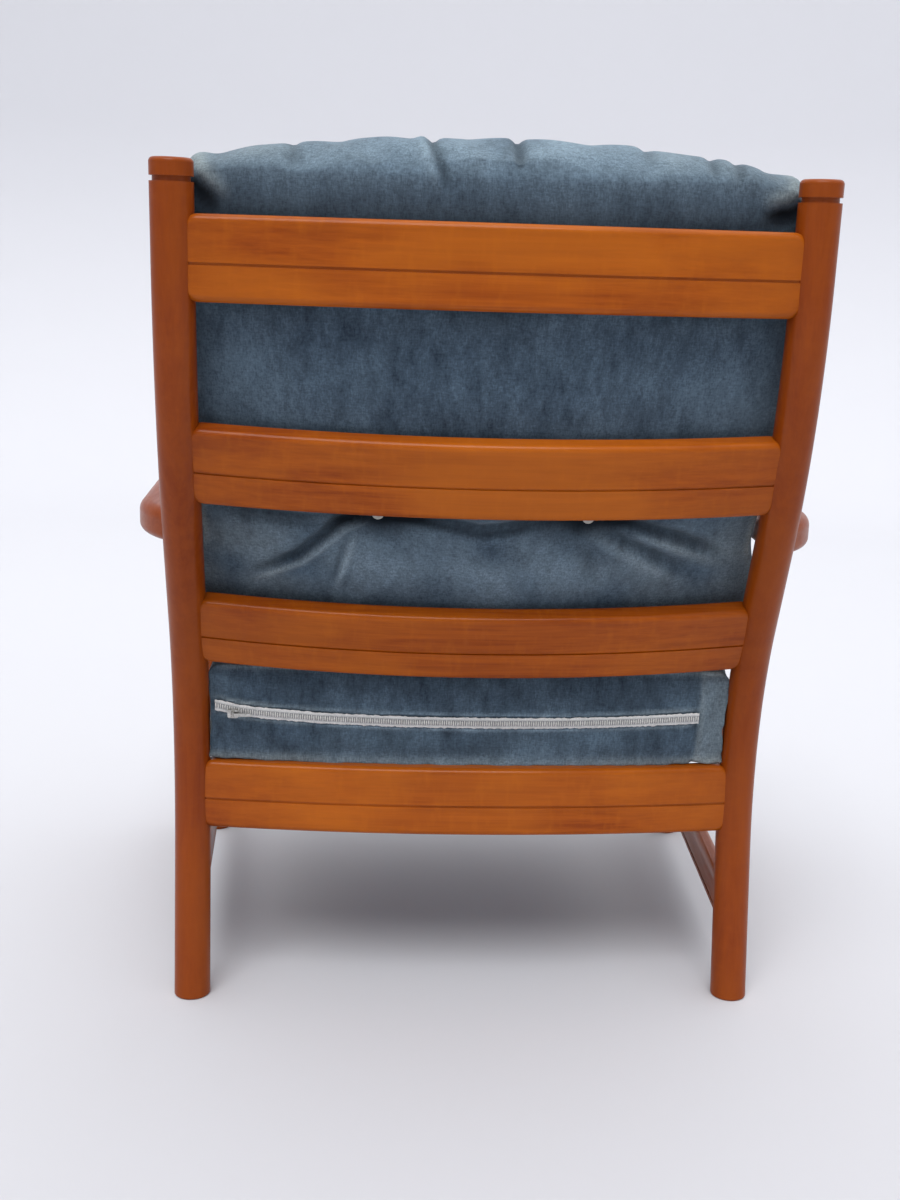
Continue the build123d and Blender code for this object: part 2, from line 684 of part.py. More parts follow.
# Zip on the rear boxing: x along the chair, y up the boxing, z backwards
zip_plane = Plane(
    origin=seat_plane.origin + seat_plane.z_dir * ZIP_HEIGHT + seat_plane.y_dir * ZIP_GAP,
    x_dir=(-1, 0, 0),
    z_dir=seat_plane.y_dir,
)
zip_middle = -(ZIP_LEFT_END + ZIP_RIGHT_END) / 2
zip_length = ZIP_LEFT_END - ZIP_RIGHT_END

with BuildPart() as zip_tape:
    with BuildSketch(zip_plane):
        with Locations((zip_middle, 0)):
            Rectangle(zip_length, TAPE_WIDTH)
    extrude(amount=TAPE_THICKNESS)
finish(zip_tape, "zip_tape")

coil_section = Plane(
    origin=zip_plane.from_local_coords((-ZIP_LEFT_END, 0, TAPE_THICKNESS)),
    x_dir=zip_plane.y_dir,
    z_dir=zip_plane.x_dir,
)
with BuildPart() as zip_coil:
    with BuildSketch(coil_section):
        with BuildLine():
            coil_top = ThreePointArc((-COIL_WIDTH / 2, 0), (0, COIL_HEIGHT), (COIL_WIDTH / 2, 0))
            Line(coil_top @ 1, coil_top @ 0)
        make_face()
    extrude(amount=zip_length)
finish(zip_coil, "zip_coil")

# Slider: a body over the coil, with two ears and a pin for the pull
slider_at = -(ZIP_LEFT_END - SLIDER_LENGTH / 2)
slider_floor = TAPE_THICKNESS + ZIP_GAP
slider_top = slider_floor + SLIDER_HEIGHT
pull_gap = PULL_WIDTH + 2 * EAR_CLEARANCE
pin_height = slider_top + PULL_EYE_DIAMETER / 2 + EAR_CLEARANCE
with BuildPart() as zip_slider:
    with BuildSketch(zip_plane.offset(slider_floor)):
        with Locations((slider_at, 0)):
            RectangleRounded(SLIDER_LENGTH, SLIDER_WIDTH, SLIDER_WIDTH / 4)
    extrude(amount=SLIDER_HEIGHT)
    channel = COIL_HEIGHT - ZIP_GAP + SLIDER_CLEARANCE
    with BuildSketch(zip_plane.offset(slider_floor)):
        with Locations((slider_at, 0)):
            Rectangle(2 * SLIDER_LENGTH, COIL_WIDTH + 2 * SLIDER_CLEARANCE)
    extrude(amount=channel, mode=Mode.SUBTRACT)
    ear_reach = pin_height - slider_top + SLIDER_PIN_DIAMETER
    ear_out = (pull_gap + EAR_THICKNESS) / 2
    with BuildSketch(zip_plane.offset(slider_top)):
        with Locations((slider_at, ear_out), (slider_at, -ear_out)):
            Rectangle(2 * SLIDER_PIN_DIAMETER, EAR_THICKNESS)
    extrude(amount=ear_reach)
    pin_frame = Plane(
        origin=zip_plane.from_local_coords((slider_at, 0, pin_height)),
        x_dir=zip_plane.x_dir,
        z_dir=zip_plane.y_dir,
    )
    with BuildSketch(pin_frame):
        Circle(SLIDER_PIN_DIAMETER / 2)
    extrude(amount=pull_gap / 2 + EAR_THICKNESS / 2, both=True)
finish(zip_slider, "zip_slider")

# Pull: a flat tab whose eye turns on the slider's pin, lying along the closed zip
with BuildPart() as zip_pull:
    with BuildSketch(pin_frame):
        Circle(PULL_EYE_DIAMETER / 2)
        with Locations((PULL_LENGTH / 2, 0)):
            Rectangle(PULL_LENGTH, PULL_THICKNESS)
        Circle(SLIDER_PIN_DIAMETER / 2 + PIN_CLEARANCE, mode=Mode.SUBTRACT)
    extrude(amount=PULL_WIDTH / 2, both=True)
finish(zip_pull, "zip_pull")

# Back cushion: stations along the chord from the lower slat's lower edge to the top slat's upper edge
def slat_front(place, height, share):
    """Middle of a slat's front face, at a share of its height, as a point of the YZ plane."""
    frame, _ = slat_frame(place)
    return frame.from_local_coords((0, SLAT_BOW - SLAT_THICKNESS / 2, height * (share - 0.5)))


chord_foot = slat_front(LOWER_SLAT_AT, LOWER_SLAT_HEIGHT, 0.0)
chord_head = slat_front(TOP_SLAT_AT, TOP_SLAT_HEIGHT, 1.0)
back_plane = Plane(origin=chord_foot, x_dir=(1, 0, 0), z_dir=(chord_head - chord_foot).normalized())
chord = (chord_head - chord_foot).length


def slat_station(place, height, share):
    """Place along the chord, and depth behind it, of a slat's front face."""
    local = back_plane.to_local_coords(slat_front(place, height, share))
    return local.Z, local.Y - BACK_CLEARANCE


def back_section(half_width, rear, side, wall):
    """A slice of the cushion: bulged rear and front between drawn-in seams."""
    seam = half_width - wall
    rear_seam = rear - BACK_REAR_CROWN - wall
    front_seam = rear - BACK_REAR_CROWN - side + wall
    front = front_seam - BACK_FRONT_CROWN * side / BACK_SIDE
    bulge = seam + BACK_SIDE_BULGE
    side_mid = (rear_seam + front_seam) / 2
    with BuildLine() as outline:
        ThreePointArc((-seam, rear_seam), (0, rear - wall), (seam, rear_seam))
        ThreePointArc((seam, rear_seam), (bulge, side_mid), (seam, front_seam))
        ThreePointArc((seam, front_seam), (0, front), (-seam, front_seam))
        ThreePointArc((-seam, front_seam), (-bulge, side_mid), (-seam, rear_seam))
    make_face(outline.edges())


lower_top = slat_station(LOWER_SLAT_AT, LOWER_SLAT_HEIGHT, 1.0)
middle_low = slat_station(MIDDLE_SLAT_AT, MIDDLE_SLAT_HEIGHT, 0.0)
middle_top = slat_station(MIDDLE_SLAT_AT, MIDDLE_SLAT_HEIGHT, 1.0)
top_low = slat_station(TOP_SLAT_AT, TOP_SLAT_HEIGHT, 0.0)
shoulder = chord + BACK_ABOVE_SLAT * SHOULDER_AT
crown = chord + BACK_ABOVE_SLAT
back_stations = (
    (-BACK_BELOW, -BACK_CLEARANCE - FOOT_TUCK, BACK_HALF_BOTTOM - FOOT_NARROW, BACK_SIDE * FOOT_SIDE),
    (0.0, -BACK_CLEARANCE, BACK_HALF_BOTTOM, BACK_SIDE),
    (*lower_top, BACK_HALF_ARMS, BACK_SIDE),
    (*middle_low, BACK_HALF_ARMS, BACK_SIDE),
    (*middle_top, (BACK_HALF_ARMS + BACK_HALF_TOP) / 2, BACK_SIDE),
    (*top_low, BACK_HALF_TOP, BACK_SIDE),
    (chord, -BACK_CLEARANCE, BACK_HALF_TOP, BACK_SIDE * HEAD_SIDE),
    (shoulder, -BACK_CLEARANCE - SHOULDER_TUCK, BACK_HALF_TOP - SHOULDER_NARROW, BACK_SIDE * SHOULDER_SIDE),
    (crown, -BACK_CLEARANCE - CROWN_TUCK, BACK_HALF_TOP - CROWN_NARROW, BACK_SIDE * CROWN_SIDE),
)


def back_loft(wall):
    """The leaning cushion as a loft through its slices, smaller by a wall all round."""
    bottom = back_stations[0][0]
    total = back_stations[-1][0] - bottom
    squeeze = (total - 2 * wall) / total
    with BuildPart() as form:
        for height, rear, half_width, side in back_stations:
            with BuildSketch(back_plane.offset(bottom + wall + (height - bottom) * squeeze)):
                back_section(half_width, rear, side, wall)
        loft(ruled=True)
    return form.part


# Tufts: each has a dimple in front, a smaller one behind and a cord between them
back_smooth = back_loft(0.0)
tuft_places = [(spread, TUFT_LOWER_AT) for spread in (-TUFT_SPREAD_LOWER, TUFT_SPREAD_LOWER)]
tuft_places += [(spread, TUFT_UPPER_AT) for spread in (-TUFT_SPREAD_UPPER, 0.0, TUFT_SPREAD_UPPER)]
backwards = back_plane.y_dir
tufts = []
for spread, place in tuft_places:
    tuft_axis = Axis(back_plane.from_local_coords((spread, 0, place)), backwards)
    crossings = [point for point, _ in back_smooth.find_intersection_points(tuft_axis)]
    crossings.sort(key=lambda point: point.dot(backwards))
    front_floor = crossings[0] + backwards * FRONT_DIMPLE_DEPTH
    rear_floor = crossings[-1] - backwards * REAR_DIMPLE_DEPTH
    tufts.append((front_floor, rear_floor))


def disc_seat(sphere_radius, disc_diameter):
    """Height of a flat disc's base above the floor of a round dimple."""
    return sphere_radius - (sphere_radius ** 2 - disc_diameter ** 2 / 4) ** 0.5 + FILL_GAP


def back_form(wall):
    """The cushion with its dimples and cord holes, settled on the seat cushion."""
    with BuildPart() as form:
        add(back_loft(wall))
        add(seat_outer.moved(Location(seat_plane.z_dir * (BACK_ON_SEAT + wall))), mode=Mode.SUBTRACT)
        for front_floor, rear_floor in tufts:
            with Locations(front_floor - backwards * FRONT_DIMPLE_RADIUS):
                Sphere(FRONT_DIMPLE_RADIUS + wall, mode=Mode.SUBTRACT)
            with Locations(rear_floor + backwards * REAR_DIMPLE_RADIUS):
                Sphere(REAR_DIMPLE_RADIUS + wall, mode=Mode.SUBTRACT)
    return form.part


front_seat = disc_seat(FRONT_DIMPLE_RADIUS, BUTTON_DIAMETER)
rear_seat = disc_seat(REAR_DIMPLE_RADIUS, TIE_DIAMETER)
with BuildPart() as tuft_holes:
    for front_floor, rear_floor in tufts:
        hole_start = front_floor - backwards * front_seat
        with BuildSketch(Plane(origin=hole_start, x_dir=(1, 0, 0), z_dir=backwards)):
            Circle(CORD_DIAMETER / 2 + CORD_CLEARANCE)
        extrude(amount=(rear_floor - front_floor).length + front_seat + rear_seat)

with BuildPart() as back_cover:
    add(back_form(0.0))
    add(back_form(COVER_THICKNESS), mode=Mode.SUBTRACT)
    add(tuft_holes.part, mode=Mode.SUBTRACT)
finish(back_cover, "back_cover")

with BuildPart() as back_filling:
    add(back_form(COVER_THICKNESS + FILL_GAP))
    add(tuft_holes.part, mode=Mode.SUBTRACT)
finish(back_filling, "back_filling")

with BuildPart() as back_buttons:
    for front_floor, rear_floor in tufts:
        base = Plane(origin=front_floor - backwards * front_seat, x_dir=(1, 0, 0), z_dir=backwards * -1)
        with BuildSketch(base):
            Circle(BUTTON_DIAMETER / 2)
        extrude(amount=BUTTON_HEIGHT)
    rims = back_buttons.faces().filter_by(Axis(back_plane.origin, backwards))
    fronts = [face for face in rims if face.normal_at().dot(backwards) < 0]
    fillet([edge for face in fronts for edge in face.edges()], BUTTON_ROUNDING)
finish(back_buttons, "back_buttons")

with BuildPart() as tuft_ties:
    for front_floor, rear_floor in tufts:
        with BuildSketch(Plane(origin=rear_floor + backwards * rear_seat, x_dir=(1, 0, 0), z_dir=backwards)):
            Circle(TIE_DIAMETER / 2)
        extrude(amount=TIE_HEIGHT)
finish(tuft_ties, "tuft_ties")

with BuildPart() as tuft_cords:
    for front_floor, rear_floor in tufts:
        cord_start = front_floor - backwards * front_seat
        cord_end = rear_floor + backwards * rear_seat
        with BuildSketch(Plane(origin=cord_start, x_dir=(1, 0, 0), z_dir=backwards)):
            Circle(CORD_DIAMETER / 2)
        extrude(amount=(cord_end - cord_start).length)
finish(tuft_cords, "tuft_cords")
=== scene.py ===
import math

import bmesh
import bpy
import numpy as np
from mathutils import Matrix, Vector, noise
from mathutils.kdtree import KDTree


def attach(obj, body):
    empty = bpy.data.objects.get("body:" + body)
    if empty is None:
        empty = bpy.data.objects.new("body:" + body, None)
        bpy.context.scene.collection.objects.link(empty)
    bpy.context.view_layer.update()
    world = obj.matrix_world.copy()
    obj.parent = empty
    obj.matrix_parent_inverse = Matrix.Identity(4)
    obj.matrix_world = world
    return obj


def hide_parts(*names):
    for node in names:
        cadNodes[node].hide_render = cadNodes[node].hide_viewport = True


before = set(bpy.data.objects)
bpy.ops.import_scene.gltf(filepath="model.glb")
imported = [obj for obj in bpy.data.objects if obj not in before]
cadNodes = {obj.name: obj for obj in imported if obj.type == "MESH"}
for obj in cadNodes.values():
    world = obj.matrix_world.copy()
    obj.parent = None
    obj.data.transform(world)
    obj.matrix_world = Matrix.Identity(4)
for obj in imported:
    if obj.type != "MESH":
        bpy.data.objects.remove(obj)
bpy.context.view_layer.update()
scene = bpy.context.scene
scene.view_settings.view_transform = "Standard"
print("frame loaded:", len(cadNodes), "CAD nodes")

# Camera, fitted to the post tops, feet, slat edges and stretcher of the photograph
photoCamera = {
    "place": (0.09094, 1.47745, 0.64872),
    "right": (-0.998571, 0.046607, 0.026158),
    "up": (0.017765, -0.172155, 0.984910),
    "lens": 39.186,
    "sensor": 36,  # mm on the long side
    "nearest": 0.01,
}


def makeCamera(look):
    right = Vector(look["right"])
    up = Vector(look["up"])
    back = right.cross(up)
    data = bpy.data.cameras.new("photoCamera")
    data.sensor_width = look["sensor"]
    data.lens = look["lens"]
    data.clip_start = look["nearest"]
    camera = bpy.data.objects.new("photoCamera", data)
    turn = Matrix((right, up, back)).transposed().to_4x4()
    camera.matrix_world = Matrix.Translation(look["place"]) @ turn
    scene.collection.objects.link(camera)
    scene.camera = camera


makeCamera(photoCamera)

# Studio: a pale floor that turns up into a round backdrop, a bright dome and two soft suns
studio = {
    "floorRadius": 4.5,
    "turnRadius": 2.0,
    "wallHeight": 3.5,
    "turnSteps": 8,
    "sides": 64,
    "floorColour": (0.61, 0.615, 0.65, 1),
    "domeTop": 1.5,
    "domeSide": 0.4,
    "skyColour": (0.80, 0.82, 0.90, 1),
    # name, strength, angle, where it shines from
    "suns": (("keySun", 1.85, 40, (0.20, 0.80, 1.12)), ("fillSun", 0.35, 90, (-0.7, -0.5, 0.8))),
}


def smoothFaces(mesh):
    mesh.polygons.foreach_set("use_smooth", [True] * len(mesh.polygons))


def meshPiece(name, bm, material=None):
    mesh = bpy.data.meshes.new(name)
    bm.to_mesh(mesh)
    bm.free()
    piece = bpy.data.objects.new(name, mesh)
    scene.collection.objects.link(piece)
    if material:
        mesh.materials.append(material)
    smoothFaces(mesh)
    return piece


def makeStudio(look):
    bm = bmesh.new()
    profile = [bm.verts.new((0.0, 0.0, 0.0)), bm.verts.new((look["floorRadius"], 0.0, 0.0))]
    for step in range(1, look["turnSteps"] + 1):
        turn = math.pi / 2 * step / look["turnSteps"]
        out = look["floorRadius"] + look["turnRadius"] * math.sin(turn)
        profile.append(bm.verts.new((out, 0.0, look["turnRadius"] * (1 - math.cos(turn)))))
    profile.append(bm.verts.new((out, 0.0, look["turnRadius"] + look["wallHeight"])))
    for low, high in zip(profile, profile[1:]):
        bm.edges.new((low, high))
    bmesh.ops.spin(bm, geom=bm.verts[:] + bm.edges[:], cent=(0, 0, 0), axis=(0, 0, 1),
                   angle=2 * math.pi, steps=look["sides"], use_merge=True)
    bmesh.ops.remove_doubles(bm, verts=bm.verts[:], dist=1e-5)
    bmesh.ops.recalc_face_normals(bm, faces=bm.faces[:])
    floor = meshPiece("studioFloor", bm)
    paint = bpy.data.materials.new("paleFloor")
    paint.use_nodes = True
    shader = paint.node_tree.nodes["Principled BSDF"]
    shader.inputs["Base Color"].default_value = look["floorColour"]
    shader.inputs["Roughness"].default_value = 0.9
    shader.inputs["Specular IOR Level"].default_value = 0.1
    floor.data.materials.append(paint)

    world = bpy.data.worlds.new("studioDome")
    scene.world = world
    world.use_nodes = True
    tree = world.node_tree
    background = tree.nodes["Background"]
    where = tree.nodes.new("ShaderNodeTexCoord")
    split = tree.nodes.new("ShaderNodeSeparateXYZ")
    height = tree.nodes.new("ShaderNodeMapRange")
    height.inputs["From Min"].default_value = 0.0
    height.inputs["From Max"].default_value = 1.0
    height.inputs["To Min"].default_value = look["domeSide"]
    height.inputs["To Max"].default_value = look["domeTop"]
    tree.links.new(where.outputs["Generated"], split.inputs["Vector"])
    tree.links.new(split.outputs["Z"], height.inputs["Value"])
    tree.links.new(height.outputs["Result"], background.inputs["Strength"])
    background.inputs["Color"].default_value = (1, 1, 1, 1)
    seen = tree.nodes.new("ShaderNodeBackground")
    seen.inputs["Color"].default_value = look["skyColour"]
    path = tree.nodes.new("ShaderNodeLightPath")
    mix = tree.nodes.new("ShaderNodeMixShader")
    tree.links.new(path.outputs["Is Camera Ray"], mix.inputs["Fac"])
    tree.links.new(background.outputs["Background"], mix.inputs[1])
    tree.links.new(seen.outputs["Background"], mix.inputs[2])
    tree.links.new(mix.outputs["Shader"], tree.nodes["World Output"].inputs["Surface"])


def makeSun(name, strength, angle, fromPlace):
    data = bpy.data.lights.new(name, "SUN")
    data.energy = strength
    data.angle = math.radians(angle)
    sun = bpy.data.objects.new(name, data)
    sun.rotation_mode = "QUATERNION"
    sun.rotation_quaternion = Vector(fromPlace).to_track_quat("Z", "Y")
    scene.collection.objects.link(sun)


makeStudio(studio)
for sunLook in studio["suns"]:
    makeSun(*sunLook)
print("camera and studio ready")


# Small helpers for the node trees
def addNode(tree, kind, values=None, **settings):
    node = tree.nodes.new(kind)
    for key, value in settings.items():
        setattr(node, key, value)
    for key, value in (values or {}).items():
        node.inputs[key].default_value = value
    return node


def mixColour(tree, factor, first, second):
    node = addNode(tree, "ShaderNodeMix", data_type="RGBA")
    for socket, value in ((node.inputs[0], factor), (node.inputs[6], first), (node.inputs[7], second)):
        if isinstance(value, bpy.types.NodeSocket):
            tree.links.new(value, socket)
        else:
            socket.default_value = value
    return node.outputs[2]


def doMath(tree, operation, first, second=0.5, clamp=False):
    node = addNode(tree, "ShaderNodeMath", operation=operation, use_clamp=clamp)
    for socket, value in ((node.inputs[0], first), (node.inputs[1], second)):
        if isinstance(value, bpy.types.NodeSocket):
            tree.links.new(value, socket)
        else:
            socket.default_value = value
    return node.outputs[0]


def stretchRange(tree, value, low, high, toLow=0.0, toHigh=1.0):
    node = addNode(tree, "ShaderNodeMapRange", {"From Min": low, "From Max": high,
                                                "To Min": toLow, "To Max": toHigh})
    tree.links.new(value, node.inputs["Value"])
    return node.outputs["Result"]


def noiseField(tree, vector, scale, detail=3.0, roughness=0.5, stretch=None):
    if stretch is not None:
        mapping = addNode(tree, "ShaderNodeMapping", {"Scale": stretch})
        tree.links.new(vector, mapping.inputs["Vector"])
        vector = mapping.outputs["Vector"]
    node = addNode(tree, "ShaderNodeTexNoise", {"Scale": scale, "Detail": detail, "Roughness": roughness})
    tree.links.new(vector, node.inputs["Vector"])
    return node.outputs["Fac"]


def newGroup(name, inputs, outputs):
    group = bpy.data.node_groups.new(name, "ShaderNodeTree")
    for label, kind in inputs:
        group.interface.new_socket(label, in_out="INPUT", socket_type=kind)
    for label, kind in outputs:
        group.interface.new_socket(label, in_out="OUTPUT", socket_type=kind)
    return group, group.nodes.new("NodeGroupInput"), group.nodes.new("NodeGroupOutput")


def placeGroup(tree, group, vector):
    node = tree.nodes.new("ShaderNodeGroup")
    node.node_tree = group
    tree.links.new(vector, node.inputs["Vector"])
    return node


def newMaterial(name, roughness, **sockets):
    material = bpy.data.materials.new(name)
    material.use_nodes = True
    tree = material.node_tree
    shader = tree.nodes["Principled BSDF"]
    shader.inputs["Roughness"].default_value = roughness
    for key, value in sockets.items():
        shader.inputs[key.replace("_", " ")].default_value = value
    where = tree.nodes.new("ShaderNodeTexCoord")
    return material, tree, shader, where.outputs["Object"]


def addBump(tree, shader, height, strength, distance):
    bump = addNode(tree, "ShaderNodeBump", {"Strength": strength, "Distance": distance})
    tree.links.new(height, bump.inputs["Height"])
    tree.links.new(bump.outputs["Normal"], shader.inputs["Normal"])


# Wood figure with the grain along the group's own X: detail, roughness and frequencies of each layer
woodGrain = {
    "broad": (4.0, 0.55, (2.2, 34.0, 34.0)),
    "grain": (4.0, 0.6, (5.0, 130.0, 130.0)),
    "fine": (3.0, 0.6, (12.0, 480.0, 480.0)),
    "cloud": (3.0, 0.5, (5.0, 11.0, 11.0)),
    "fleck": (2.0, 0.5, (130.0, 46.0, 46.0)),
    "broadShare": 0.34,
    "grainShare": 0.42,
    "fineShare": 0.24,
}


def makeWoodFigure(look):
    group, start, end = newGroup("woodFigure", [("Vector", "NodeSocketVector")],
                                 [("Streak", "NodeSocketFloat"), ("Cloud", "NodeSocketFloat"),
                                  ("Fleck", "NodeSocketFloat"), ("Height", "NodeSocketFloat")])
    vector = start.outputs["Vector"]
    layers = ("broad", "grain", "fine", "cloud", "fleck")
    broad, grain, fine, cloud, fleck = [noiseField(group, vector, 1.0, *look[layer]) for layer in layers]
    grainLines = doMath(group, "MULTIPLY", grain, look["grainShare"])
    fineLines = doMath(group, "MULTIPLY", fine, look["fineShare"])
    broadLines = doMath(group, "MULTIPLY", broad, look["broadShare"])
    streak = doMath(group, "ADD", broadLines, doMath(group, "ADD", grainLines, fineLines))
    group.links.new(stretchRange(group, streak, 0.40, 0.60), end.inputs["Streak"])
    group.links.new(stretchRange(group, cloud, 0.40, 0.62), end.inputs["Cloud"])
    group.links.new(stretchRange(group, fleck, 0.52, 0.74), end.inputs["Fleck"])
    group.links.new(fine, end.inputs["Height"])
    return group


woodFigure = makeWoodFigure(woodGrain)

# Orange-brown stain under a satin lacquer
stain = {
    "mid": (0.420, 0.092, 0.0034, 1),
    "deep": (0.245, 0.044, 0.0016, 1),
    "light": (0.540, 0.142, 0.0060, 1),
    "red": (0.190, 0.029, 0.0026, 1),
    "cloudShare": 0.55,
    "fleckShare": 0.22,
    "endFrom": 0.17,  # the boards turn redder towards their ends
    "endTo": 0.29,
    "endRed": 0.3,
    "mostRed": 0.75,
    "roughDark": 0.46,
    "roughLight": 0.36,
}


def makeStainedWood(name, turn, shift, redness):
    material, tree, shader, where = newMaterial(name, 0.42, Coat_Weight=0.32, Coat_Roughness=0.12,
                                                Coat_IOR=1.45, Specular_IOR_Level=0.06)
    mapping = addNode(tree, "ShaderNodeMapping", {"Rotation": turn, "Location": shift})
    tree.links.new(where, mapping.inputs["Vector"])
    figure = placeGroup(tree, woodFigure, mapping.outputs["Vector"])
    colour = mixColour(tree, figure.outputs["Streak"], stain["deep"], stain["mid"])
    lift = doMath(tree, "MULTIPLY", figure.outputs["Cloud"], stain["cloudShare"])
    colour = mixColour(tree, lift, colour, stain["light"])
    flecks = doMath(tree, "MULTIPLY", figure.outputs["Fleck"], stain["fleckShare"])
    colour = mixColour(tree, flecks, colour, stain["light"])
    split = addNode(tree, "ShaderNodeSeparateXYZ")
    tree.links.new(where, split.inputs["Vector"])
    outward = doMath(tree, "ABSOLUTE", split.outputs["X"])
    endRed = min(redness + stain["endRed"], stain["mostRed"])
    endTint = stretchRange(tree, outward, stain["endFrom"], stain["endTo"], redness, endRed)
    colour = mixColour(tree, endTint, colour, stain["red"])
    tree.links.new(colour, shader.inputs["Base Color"])
    rough = stretchRange(tree, figure.outputs["Streak"], 0.0, 1.0, stain["roughDark"], stain["roughLight"])
    tree.links.new(rough, shader.inputs["Roughness"])
    addBump(tree, shader, figure.outputs["Height"], 0.08, 0.0006)
    return material


quarter = math.pi / 2
woodAcross = makeStainedWood("stainedWoodAcross", (0, 0, 0), (0, 0, 0), 0.12)
woodUpright = makeStainedWood("stainedWoodUpright", (0, quarter, 0), (0.31, 0.17, 0.05), 0.55)
woodForward = makeStainedWood("stainedWoodForward", (0, 0, quarter), (0.12, 0.43, 0.29), 0.4)


def makeRawWood(name, pale, dark, turn):
    material, tree, shader, where = newMaterial(name, 0.62)
    mapping = addNode(tree, "ShaderNodeMapping", {"Rotation": turn})
    tree.links.new(where, mapping.inputs["Vector"])
    figure = placeGroup(tree, woodFigure, mapping.outputs["Vector"])
    colour = mixColour(tree, figure.outputs["Streak"], dark, pale)
    tree.links.new(colour, shader.inputs["Base Color"])
    addBump(tree, shader, figure.outputs["Height"], 0.2, 0.0006)
    return material


dowelWood = makeRawWood("dowelBeech", (0.62, 0.42, 0.24, 1), (0.48, 0.29, 0.15, 1), (0, 0, quarter))
blockWood = makeRawWood("blockBeech", (0.56, 0.38, 0.21, 1), (0.40, 0.24, 0.12, 1), (0, 0, 0))


# Metal, rubber, plastic and filling, each with its own wear
metalWear = {"scale": 260.0, "from": 0.35, "to": 0.7, "smoother": 0.08, "rougher": 0.15, "pits": 900.0}


def makeMetal(name, bright, dull, roughness, look=metalWear):
    material, tree, shader, where = newMaterial(name, roughness, Metallic=1.0)
    wear = stretchRange(tree, noiseField(tree, where, look["scale"], 4.0, 0.6), look["from"], look["to"])
    tree.links.new(mixColour(tree, wear, bright, dull), shader.inputs["Base Color"])
    rough = stretchRange(tree, wear, 0.0, 1.0, roughness - look["smoother"], roughness + look["rougher"])
    tree.links.new(rough, shader.inputs["Roughness"])
    addBump(tree, shader, noiseField(tree, where, look["pits"], 2.0), 0.1, 0.0003)
    return material


screwSteel = makeMetal("screwSteel", (0.62, 0.60, 0.52, 1), (0.40, 0.38, 0.33, 1), 0.32)
clipSteel = makeMetal("clipSteel", (0.20, 0.20, 0.20, 1), (0.10, 0.10, 0.10, 1), 0.45)
zipMetal = makeMetal("zipMetal", (0.58, 0.57, 0.54, 1), (0.33, 0.32, 0.30, 1), 0.30)


webbingLook = {
    "dark": (0.055, 0.040, 0.030, 1),
    "light": (0.105, 0.078, 0.055, 1),
    "dust": (0.16, 0.14, 0.12, 1),
    "ribs": 330.0,
    "dustScale": 24.0,
}


def makeWebbing(look):
    material, tree, shader, where = newMaterial("webbingRubber", 0.75)
    wave = addNode(tree, "ShaderNodeTexWave", {"Scale": look["ribs"], "Distortion": 0.4}, bands_direction="Y")
    tree.links.new(where, wave.inputs["Vector"])
    dust = stretchRange(tree, noiseField(tree, where, look["dustScale"], 4.0, 0.6), 0.4, 0.75, 0.0, 0.5)
    weave = mixColour(tree, wave.outputs["Fac"], look["dark"], look["light"])
    colour = mixColour(tree, dust, weave, look["dust"])
    tree.links.new(colour, shader.inputs["Base Color"])
    addBump(tree, shader, wave.outputs["Fac"], 0.5, 0.0008)
    return material


def makeSpeckled(name, light, dark, scale, roughness, bump):
    material, tree, shader, where = newMaterial(name, roughness)
    field = noiseField(tree, where, scale, 4.0, 0.62)
    colour = mixColour(tree, stretchRange(tree, field, 0.32, 0.68), dark, light)
    tree.links.new(colour, shader.inputs["Base Color"])
    addBump(tree, shader, field, bump, 0.001)
    return material


webbingRubber = makeWebbing(webbingLook)
foamMaterial = makeSpeckled("seatFoam", (0.80, 0.72, 0.46, 1), (0.66, 0.56, 0.32, 1), 700.0, 0.9, 0.4)
fillingMaterial = makeSpeckled("backFibre", (0.86, 0.86, 0.84, 1), (0.70, 0.70, 0.68, 1), 320.0, 0.95, 0.5)
# tie plastic darkened below its own colour: painted shade, as the ties sit in shade
shadedTiePlastic = makeSpeckled("shadedTiePlastic", (0.46, 0.45, 0.41, 1), (0.32, 0.31, 0.28, 1), 180.0, 0.45, 0.05)
cordMaterial = makeSpeckled("tuftCord", (0.70, 0.68, 0.62, 1), (0.50, 0.48, 0.42, 1), 1400.0, 0.8, 0.4)
zipWhite = makeSpeckled("zipNylon", (0.74, 0.73, 0.70, 1), (0.52, 0.51, 0.49, 1), 260.0, 0.42, 0.1)


# Velour nap: short streaks both ways, brushed clouds and a fine pile
napLayers = {
    "down": (3.0, 0.7, (640.0, 640.0, 210.0)),  # detail, roughness, frequencies
    "across": (3.0, 0.7, (190.0, 420.0, 640.0)),
    "brush": (5.0, 0.7, (70.0, 70.0, 26.0)),
    "downShare": 0.55,
    "acrossShare": 0.45,
    "cloudScale": 7.5,
}


def makeVelourNap(look):
    group, start, end = newGroup("velourNap", [("Vector", "NodeSocketVector")],
                                 [("Pile", "NodeSocketFloat"), ("Brush", "NodeSocketFloat"),
                                  ("Cloud", "NodeSocketFloat"), ("Height", "NodeSocketFloat")])
    vector = start.outputs["Vector"]
    layers = ("down", "across", "brush")
    down, across, brush = [noiseField(group, vector, 1.0, *look[layer]) for layer in layers]
    cloud = noiseField(group, vector, look["cloudScale"], 4.0, 0.55)
    downNap = doMath(group, "MULTIPLY", down, look["downShare"])
    acrossNap = doMath(group, "MULTIPLY", across, look["acrossShare"])
    pile = doMath(group, "ADD", downNap, acrossNap)
    group.links.new(stretchRange(group, pile, 0.38, 0.62), end.inputs["Pile"])
    group.links.new(stretchRange(group, brush, 0.28, 0.72), end.inputs["Brush"])
    group.links.new(stretchRange(group, cloud, 0.38, 0.66), end.inputs["Cloud"])
    group.links.new(pile, end.inputs["Height"])
    return group


velourNap = makeVelourNap(napLayers)
